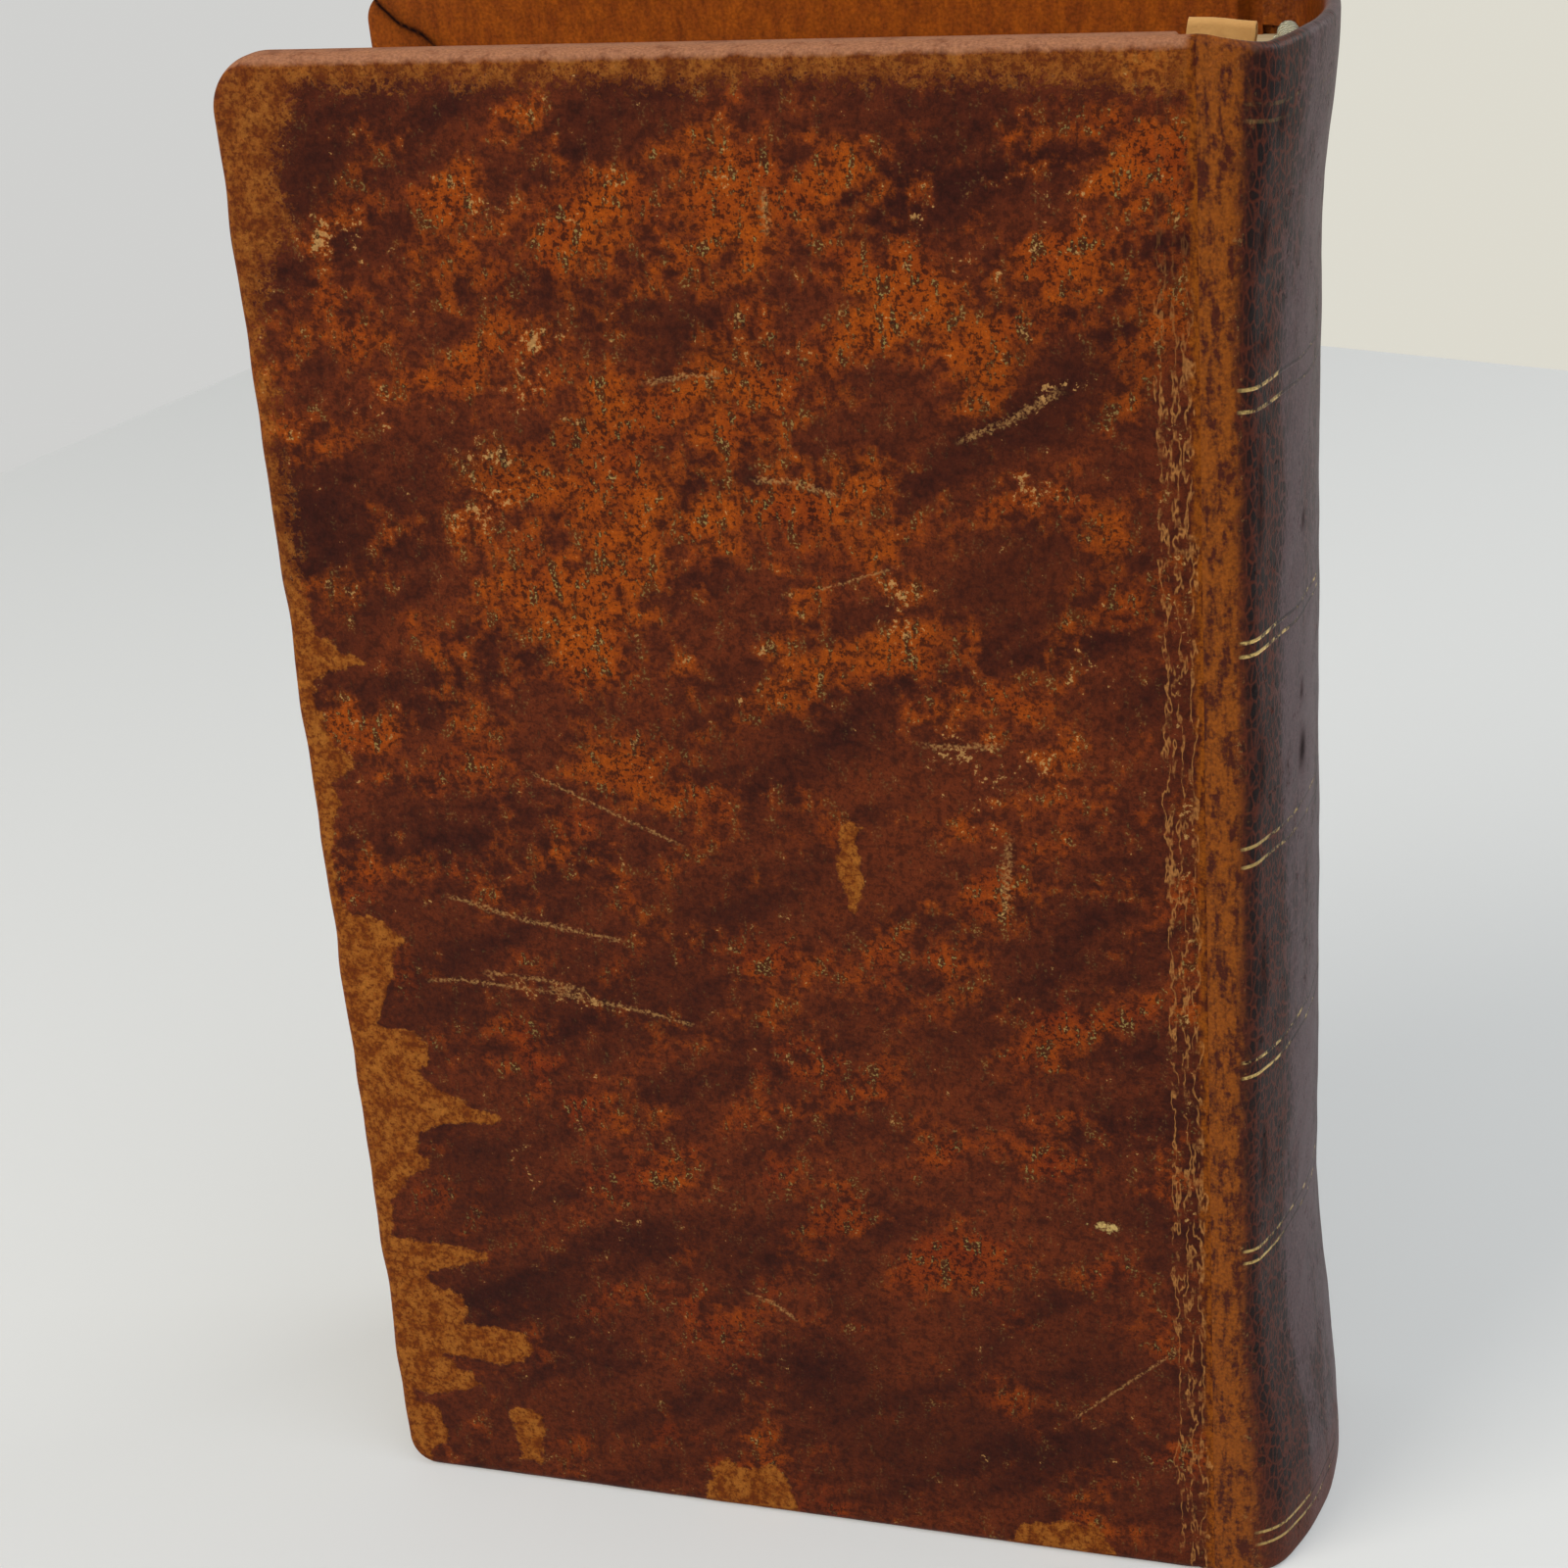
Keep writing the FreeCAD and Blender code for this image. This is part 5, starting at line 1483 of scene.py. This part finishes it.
@dataclass
class Endband:
    """Headband or tailband: a core and a bead, wound with threads of two colours."""

    shape: SpineShape
    seat_z: float
    up: float
    core: float = 2.2
    bead: float = 0.8
    setback: float = 0.75
    seat: float = 0.05
    seam: float = 0.2
    half_length: float = 14.6
    block_inset: float = 1.3
    thread: float = 0.34
    bead_thread: float = 0.8  # thickness of the bead's threads, as a share of the core's
    spacing: float = 1.02  # distance from turn to turn, in threads
    segments: int = 32

    def path(self, name: str, inset: float, diameter: float) -> bpy.types.Object:
        """Curve along the middle of the core or of the bead.

        Args:
            name: Name of the curve.
            inset: Depth of its middle below the surface of the spine.
            diameter: Of the core or bead, which seats it on the leaves.

        Returns:
            The curve.
        """
        radius = self.shape.radius - inset
        centre_x = self.shape.crown_x - self.shape.radius
        swing = math.asin(self.half_length / radius)
        z = self.seat_z + self.up * (self.seat + diameter / 2)
        curve = bpy.data.curves.new(name, "CURVE")
        curve.dimensions = "3D"
        spline = curve.splines.new("POLY")
        spline.points.add(self.segments)
        for i, point in enumerate(spline.points):
            angle = -swing + 2 * swing * i / self.segments
            x, y = centre_x + radius * math.cos(angle), radius * math.sin(angle)
            point.co = (x * MM, y * MM, z * MM, 1.0)
        return put(name, curve)

    @staticmethod
    def winding_tree() -> bpy.types.NodeTree:
        """Geometry nodes that wind two threads in turn round a core along a curve.

        Returns:
            The tree.
        """
        tree = bpy.data.node_groups.new("thread_winding", "GeometryNodeTree")
        face = tree.interface
        face.new_socket("Path", in_out="INPUT", socket_type="NodeSocketGeometry")
        for name in ("Core Radius", "Thread Radius"):
            face.new_socket(name, in_out="INPUT", socket_type="NodeSocketFloat")
        face.new_socket("Turns", in_out="INPUT", socket_type="NodeSocketInt")
        for name in ("First Thread", "Second Thread"):
            face.new_socket(name, in_out="INPUT", socket_type="NodeSocketMaterial")
        face.new_socket("Band", in_out="OUTPUT", socket_type="NodeSocketGeometry")
        given = tree.nodes.new("NodeGroupInput").outputs
        section = add(tree, CIRCLE, {"Resolution": 12, "Radius": given["Core Radius"]})
        core = add(tree, SWEEP, {0: given["Path"], "Profile Curve": section, "Fill Caps": True})
        core = add(tree, "GeometryNodeSetMaterial", {0: core, "Material": given["First Thread"]})
        loop = add(tree, CIRCLE, {"Resolution": 14, "Radius": given["Core Radius"]})
        strand = add(tree, CIRCLE, {"Resolution": 5, "Radius": given["Thread Radius"]})
        turn = add(tree, SWEEP, {0: loop, "Profile Curve": strand})
        places = add(tree, "GeometryNodeCurveToPoints", {0: given["Path"], "Count": given["Turns"]})
        facing = places.node.outputs["Rotation"]
        number = add(tree, "GeometryNodeInputIndex")
        odd = add(tree, MATH, {0: number, 1: 2.0}, operation="MODULO")
        threads = []
        for material, swap in (("First Thread", False), ("Second Thread", True)):
            chosen = odd if swap else add(tree, MATH, {0: 1.0, 1: odd}, operation="SUBTRACT")
            wound = add(tree, "GeometryNodeInstanceOnPoints", {
                "Points": places, "Selection": chosen, "Instance": turn, "Rotation": facing})
            wound = add(tree, "GeometryNodeRealizeInstances", {0: wound})
            threads.append(add(tree, "GeometryNodeSetMaterial", {0: wound, "Material": given[material]}))
        joined = tree.nodes.new("GeometryNodeJoinGeometry")
        for part in (core, *threads):
            tree.links.new(part, joined.inputs[0])
        whole = add(tree, "GeometryNodeRealizeInstances", {0: joined.outputs[0]})
        whole = add(tree, "GeometryNodeSetShadeSmooth", {0: whole})
        result = tree.nodes.new("NodeGroupOutput")
        tree.links.new(whole, result.inputs[0])
        return tree

    def build(self, name: str, materials: tuple[bpy.types.Material, ...]) -> bpy.types.Object:
        """Makes the wound band.

        Args:
            name: Name of the piece.
            materials: The two threads.

        Returns:
            The piece.
        """
        tree = bpy.data.node_groups.get("thread_winding") or self.winding_tree()
        sockets = {s.name: s.identifier for s in tree.interface.items_tree if s.in_out == "INPUT"}
        core_inset = self.block_inset + self.setback + self.core / 2
        reach = (self.core + self.bead) / 2 - self.seam
        bead_inset = core_inset + math.sqrt(reach ** 2 - ((self.core - self.bead) / 2) ** 2)
        meshes = []
        for label, inset, diameter in (("core", core_inset, self.core), ("bead", bead_inset, self.bead)):
            path = self.path(f"{name}_{label}", inset, diameter)
            winding = path.modifiers.new("winding", "NODES")
            winding.node_group = tree
            thread = self.thread if label == "core" else self.thread * self.bead_thread
            winding[sockets["Core Radius"]] = (diameter / 2 - thread / 4) * MM
            winding[sockets["Thread Radius"]] = thread / 2 * MM
            winding[sockets["Turns"]] = int(2 * self.half_length / (self.thread * self.spacing))
            winding[sockets["First Thread"]] = materials[0]
            winding[sockets["Second Thread"]] = materials[1]
            meshes.append(plain_mesh(path))
        return joined_piece(name, meshes)


def plain_mesh(source: bpy.types.Object) -> bpy.types.Mesh:
    """The mesh that an object's modifiers make, with the object itself removed.

    Args:
        source: The object.

    Returns:
        The mesh.
    """
    bpy.context.view_layer.update()
    evaluated = source.evaluated_get(bpy.context.evaluated_depsgraph_get())
    mesh = bpy.data.meshes.new_from_object(evaluated)
    bpy.data.objects.remove(source)
    return mesh


def joined_piece(name: str, meshes: list[bpy.types.Mesh]) -> bpy.types.Object:
    """One piece from several plain meshes, each with its materials.

    Args:
        name: Name of the piece.
        meshes: The meshes, in the book's frame.

    Returns:
        The piece.
    """
    parts = [put(name, mesh) for mesh in meshes]
    with bpy.context.temp_override(active_object=parts[0], selected_editable_objects=parts,
                                   selected_objects=parts):
        bpy.ops.object.join()
    parts[0].name = name
    return parts[0]


@dataclass
class MarkerSlip:
    """Strip of paper left between the leaves, its top folded forward into a soft roll."""

    shape: SpineShape
    leaf_head_z: float
    width: float = 6.8
    thickness: float = 0.28
    depth: float = 24.0
    rise: float = 6.2
    flap: float = 2.3
    flap_gap: float = 0.8
    tilt: float = 4.5
    spine_distance: float = 8.9
    place: float = -6.0
    # How soft the paper is: waver of its width, curl of its corner, sag, lift and hollow of its fold.
    waver: float = 0.012
    curl: float = 0.25
    sag: float = 0.12
    lift: float = 0.22
    hollow: float = 0.10

    def build(self) -> bpy.types.Object:
        """Makes the slip as one closed sheet.

        Returns:
            The piece.
        """
        roll = self.flap_gap / 2 + self.thickness
        fold_z = self.rise - roll
        stem = np.linspace(-self.depth, fold_z, 40)
        turn = np.linspace(0, math.pi, 13)[1:]
        drop = np.linspace(0, self.flap, 9)[1:]
        bend_y = -self.thickness / 2 - self.flap_gap / 2
        radius = self.flap_gap / 2 + self.thickness / 2
        path_y = np.concatenate([np.zeros(len(stem)), bend_y + radius * np.cos(turn),
                                 np.full(len(drop), bend_y - radius)])
        path_z = np.concatenate([stem, fold_z + radius * np.sin(turn), fold_z - drop])
        slope_y, slope_z = np.gradient(path_y), np.gradient(path_z)
        length = np.hypot(slope_y, slope_z)
        normal_y, normal_z = slope_z / length, -slope_y / length
        wide = np.linspace(-self.width / 2, self.width / 2, 25)
        lattice, quads = weld([(lattice_over(wide, np.arange(len(path_y)), np.zeros(1)), False)])
        x, row = lattice[:, 0], lattice[:, 1].astype(int)
        seen = smooth(path_z[row], -2.0, 1.0)
        past_fold = np.clip(row - len(stem) - len(turn), 0, None) / len(drop)
        edge = np.abs(x) / (self.width / 2)
        waver = self.waver * seen * np.sin(path_z[row] * 2.3)
        x = x * (1 - waver) - self.curl * past_fold * (x > 0) * edge ** 6
        sag = self.sag * np.cos(x * 0.9 + 0.6) * seen
        lift = self.lift * past_fold * np.sin(x * 0.75 + 0.4)

        def layer(offset: float) -> Grid:
            """Points on one face of the paper.

            Args:
                offset: Distance from the middle of its thickness.

            Returns:
                The points, one per row.
            """
            y = path_y[row] + normal_y[row] * offset - self.hollow * past_fold * (1 - edge ** 2)
            z = path_z[row] + normal_z[row] * offset + sag * 0.5 + lift
            return np.column_stack([x, y, z])

        points, faces = thickened(layer(self.thickness / 2), layer(-self.thickness / 2), quads)
        c, s = math.cos(math.radians(self.tilt)), math.sin(math.radians(self.tilt))
        placed = np.column_stack([
            points[:, 0] * c + points[:, 2] * s + self.shape.crown_x - self.spine_distance,
            points[:, 1] + self.place,
            -points[:, 0] * s + points[:, 2] * c + self.leaf_head_z,
        ])
        return make_piece("paper_marker", placed, faces[:, ::-1], sharp_angle=60.0)


@dataclass(frozen=True)
class PaleMatt(Finish):
    """Pale matt surface of the set, which looks evenly bright in the picture."""

    colour: str
    even: float  # how far its look comes from its own colour instead of the lamps, from 0 to 1

    def look(self, tree: bpy.types.NodeTree) -> Socket:
        """Mixes lit and even colour, the latter only for what the camera sees.

        Args:
            tree: The material's node tree.

        Returns:
            The surface.
        """
        matt = add(tree, SHADER, {"Base Color": self.colour, "Roughness": 0.7})
        glow = add(tree, "ShaderNodeEmission", {"Color": self.colour, "Strength": 1.0})
        rays = add(tree, "ShaderNodeLightPath", output="Is Camera Ray").node.outputs
        seen = add(tree, MATH, {0: rays["Is Camera Ray"], 1: rays["Is Glossy Ray"]}, operation="MAXIMUM")
        seen = add(tree, MATH, {0: seen, 1: rays["Is Transmission Ray"]}, operation="MAXIMUM")
        share = add(tree, MATH, {0: seen, 1: self.even}, operation="MULTIPLY")
        return add(tree, "ShaderNodeMixShader", {0: share, 1: matt, 2: glow})


@dataclass
class Studio:
    """Pale table and wall, soft lamps, and the camera at the photograph's angle."""

    camera_place: tuple[float, float, float] = (94.55, -296.64, 227.32)
    right: tuple[float, float, float] = (0.95298, 0.29478, -0.07020)
    upward: tuple[float, float, float] = (-0.05750, 0.40336, 0.91323)
    back: tuple[float, float, float] = (0.29752, -0.86626, 0.40135)
    lens: float = 66.23
    table: str = "#dcdedc"
    wall: str = "#d6d6d4"
    warm_wall: str = "#e3e0d4"
    table_corners: tuple[tuple[float, float], ...] = ((-590, -700), (900, -700), (900, 227), (-303, 605))
    ground_z: float = -700  # the floor far below the table
    ground_reach: float = 6000  # how far it goes to the front and to each side
    ground_back: float = 9000
    wall_y: float = 2600
    wall_top: float = 5000
    wall_change: float = -800  # where the cool wall meets the warm one
    table_even: float = 0.3
    wall_even: float = 0.9

    @staticmethod
    def flat(name: str, points: list[tuple[float, float, float]], finish: Finish) -> None:
        """A flat face of the set.

        Args:
            name: Its name.
            points: Its corners, in millimetres.
            finish: Its finish.
        """
        data = bpy.data.meshes.new(name)
        data.from_pydata([[v * MM for v in p] for p in points], [], [list(range(len(points)))])
        data.materials.append(finish.build(f"pale_{name}"))
        put(name, data)

    @staticmethod
    def lamp(name: str, place: tuple[float, float, float], size: float, power: float,
             colour: str = "#ffffff") -> None:
        """A soft square lamp that faces the book.

        Args:
            name: Its name.
            place: Where it hangs, in millimetres.
            size: Its width in millimetres.
            power: Its power in watts.
            colour: Its colour.
        """
        data = bpy.data.lights.new(name, "AREA")
        data.size = size * MM
        data.energy = power
        data.color = linear(colour)[:3]
        lamp = put(name, data)
        lamp.location = Vector(place) * MM
        book_middle = Vector((0, 0, 90)) * MM
        lamp.rotation_euler = (book_middle - lamp.location).to_track_quat("-Z", "Y").to_euler()

    def build(self) -> None:
        """Sets the stage, the lamps and the camera."""
        scene = bpy.context.scene
        scene.view_settings.view_transform = "Standard"
        low, far, back = self.ground_z, self.ground_reach, self.ground_back
        table = [(x, y, 0.0) for x, y in self.table_corners]
        self.flat("table", table, PaleMatt(self.table, self.table_even))
        self.flat("ground", [(-far, -far, low), (far, -far, low), (far, back, low), (-far, back, low)],
                  PaleMatt(self.wall, self.wall_even))
        for name, start, end, colour in (("left_wall", -far, self.wall_change, self.wall),
                                         ("right_wall", self.wall_change, far, self.warm_wall)):
            corners_low = [(start, self.wall_y, low), (end, self.wall_y, low)]
            corners_high = [(end, self.wall_y, self.wall_top), (start, self.wall_y, self.wall_top)]
            self.flat(name, corners_low + corners_high, PaleMatt(colour, self.wall_even))
        world = bpy.data.worlds.new("soft_daylight")
        world.use_nodes = True
        tree = world.node_tree
        tree.nodes.clear()
        sky = add(tree, "ShaderNodeBackground", {"Color": "#f4f6fa", "Strength": 0.45})
        add(tree, "ShaderNodeOutputWorld", {"Surface": sky})
        scene.world = world
        self.lamp("window", (-500, -700, 800), 600, 9.0, "#fff6ec")
        self.lamp("sky_fill", (500, -300, 900), 900, 3.6, "#eef3ff")
        self.lamp("rim", (700, 500, 500), 500, 3.0)
        data = bpy.data.cameras.new("camera")
        data.lens = self.lens
        data.sensor_width = 36.0
        data.clip_start = 0.01
        camera = put("camera", data)
        rows = [list(v) for v in zip(self.right, self.upward, self.back)]
        place = Vector(self.camera_place) * MM
        camera.matrix_world = Matrix([rows[i] + [place[i]] for i in range(3)] + [[0, 0, 0, 1]])
        scene.camera = camera


@dataclass
class Book:
    """The whole book: builds every piece and dresses it, and gives the pieces of the leaves' block to their
    body.
    """

    block_body: str = "book_block"
    head_corners: tuple[float, float] = (6.5, 3.5)
    spine_reach: float = 10.0  # how far the spine's crown lies past the hinge lines
    # Spans in millimetres past the hinge line, one for the leather and one for the pasted papers.
    hide_bend: tuple[float, float] = (-0.9, 1.2)
    paper_bend: tuple[float, float] = (-0.72, 0.0)
    bend_height: float = 0.09  # half the book's height, in metres

    @staticmethod
    def dress(piece: bpy.types.Object, slot: str, node: str,
              material: bpy.types.Material | None = None) -> None:
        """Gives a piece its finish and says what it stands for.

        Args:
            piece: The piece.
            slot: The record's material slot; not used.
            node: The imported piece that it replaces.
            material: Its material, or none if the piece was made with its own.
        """
        if material:
            piece.data.materials.clear()
            piece.data.materials.append(material)
        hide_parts(node)
        log.info("%s: %d faces, for %s", piece.name, len(piece.data.polygons), node)

    def build_covers(self, calf: bpy.types.Material, paper: bpy.types.Material) -> None:
        """Makes both covers' leather and pasted papers.

        Args:
            calf: Material of the leather.
            paper: Material of the pasted papers.
        """
        for side, marks, corner in zip(Side, (BACK_MARKS, FRONT_MARKS), self.head_corners):
            cover = CoverLeather(side, marks, corner)
            hide = cover.build()
            self.dress(hide, "cover_leather", f"{side.word}_cover_leather", calf)
            sheet = Pastedown(cover).build()
            self.dress(sheet, "pastedown_paper", f"{side.word}_pastedown", paper)
            for piece, bend in ((hide, self.hide_bend), (sheet, self.paper_bend)):
                side.body
                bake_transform(piece)

    def build_block(self, calf: bpy.types.Material) -> None:
        """Makes the leaves, the spine leather, the endbands and the marker slip.

        Args:
            calf: Material of the spine's leather.
        """
        low, high = corners("text_block")
        hinge_x = hinge_line(Side.BACK.body)
        shape = SpineShape(hinge_x, hinge_x + self.spine_reach)
        hide = SpineLeather(shape, low[2], high[2]).build()
        self.dress(hide, "spine_leather", "spine_leather", calf)
        leaves = Leaves(shape).build()
        edges = AgedPaper("#c2ae87", "#a58c62", leaf_pitch=0.42).build("leaf_edges")
        self.dress(leaves, "leaves", "text_block", edges)
        threads = (TwistedThread("#d9cfae", "#8f7f58").build("cream_thread"),
                   TwistedThread("#7d8a78", "#434c40").build("grey_green_thread"))
        pieces = [hide, leaves]
        for name, seat, up in (("head_endband", high[2], 1.0), ("tail_endband", low[2], -1.0)):
            band = Endband(shape, seat, up).build(f"{name}_threads", threads)
            self.dress(band, "endband_thread", name)
            pieces.append(band)
        slip = MarkerSlip(shape, high[2]).build()
        self.dress(slip, "slip_paper", "marker_slip", AgedPaper("#d3a663", "#a8763a").build("slip_of_paper"))
        for piece in (*pieces, slip):
            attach(piece, self.block_body)

    @staticmethod
    def finish_inner_pieces() -> None:
        """Gives the boards, cords and lining that show only inside their own finishes."""
        finishes = {
            "board": Pasteboard().build("raw_pasteboard"),
            "cord": TwistedThread("#b39b70", "#6d5a3a", 0.6).build("twisted_hemp"),
            "lining": AgedPaper("#b59f78", "#8a744e").build("coarse_lining_paper"),
        }
        for name, node in frame["nodes"].items():
            for word, material in finishes.items():
                if word in name and not node.hide_render:
                    node.data.materials.clear()
                    node.data.materials.append(material)
                    log.info("%s: %s", name, material.name)

    def build(self) -> None:
        """Makes the whole book."""
        calf = MottledCalf().build("mottled_calf")
        polished = MottledCalf(shine=0.17).build("polished_spine_calf")
        paper = AgedPaper("#d3c29b", "#bea67a").build("pasted_paper")
        self.build_covers(calf, paper)
        self.build_block(polished)
        self.finish_inner_pieces()


def main() -> None:
    """Builds the studio and the book."""
    logging.basicConfig(level=logging.INFO, format="%(name)s %(message)s")
    Studio().build()
    Book().build()


if __name__ == "__main__":
    main()
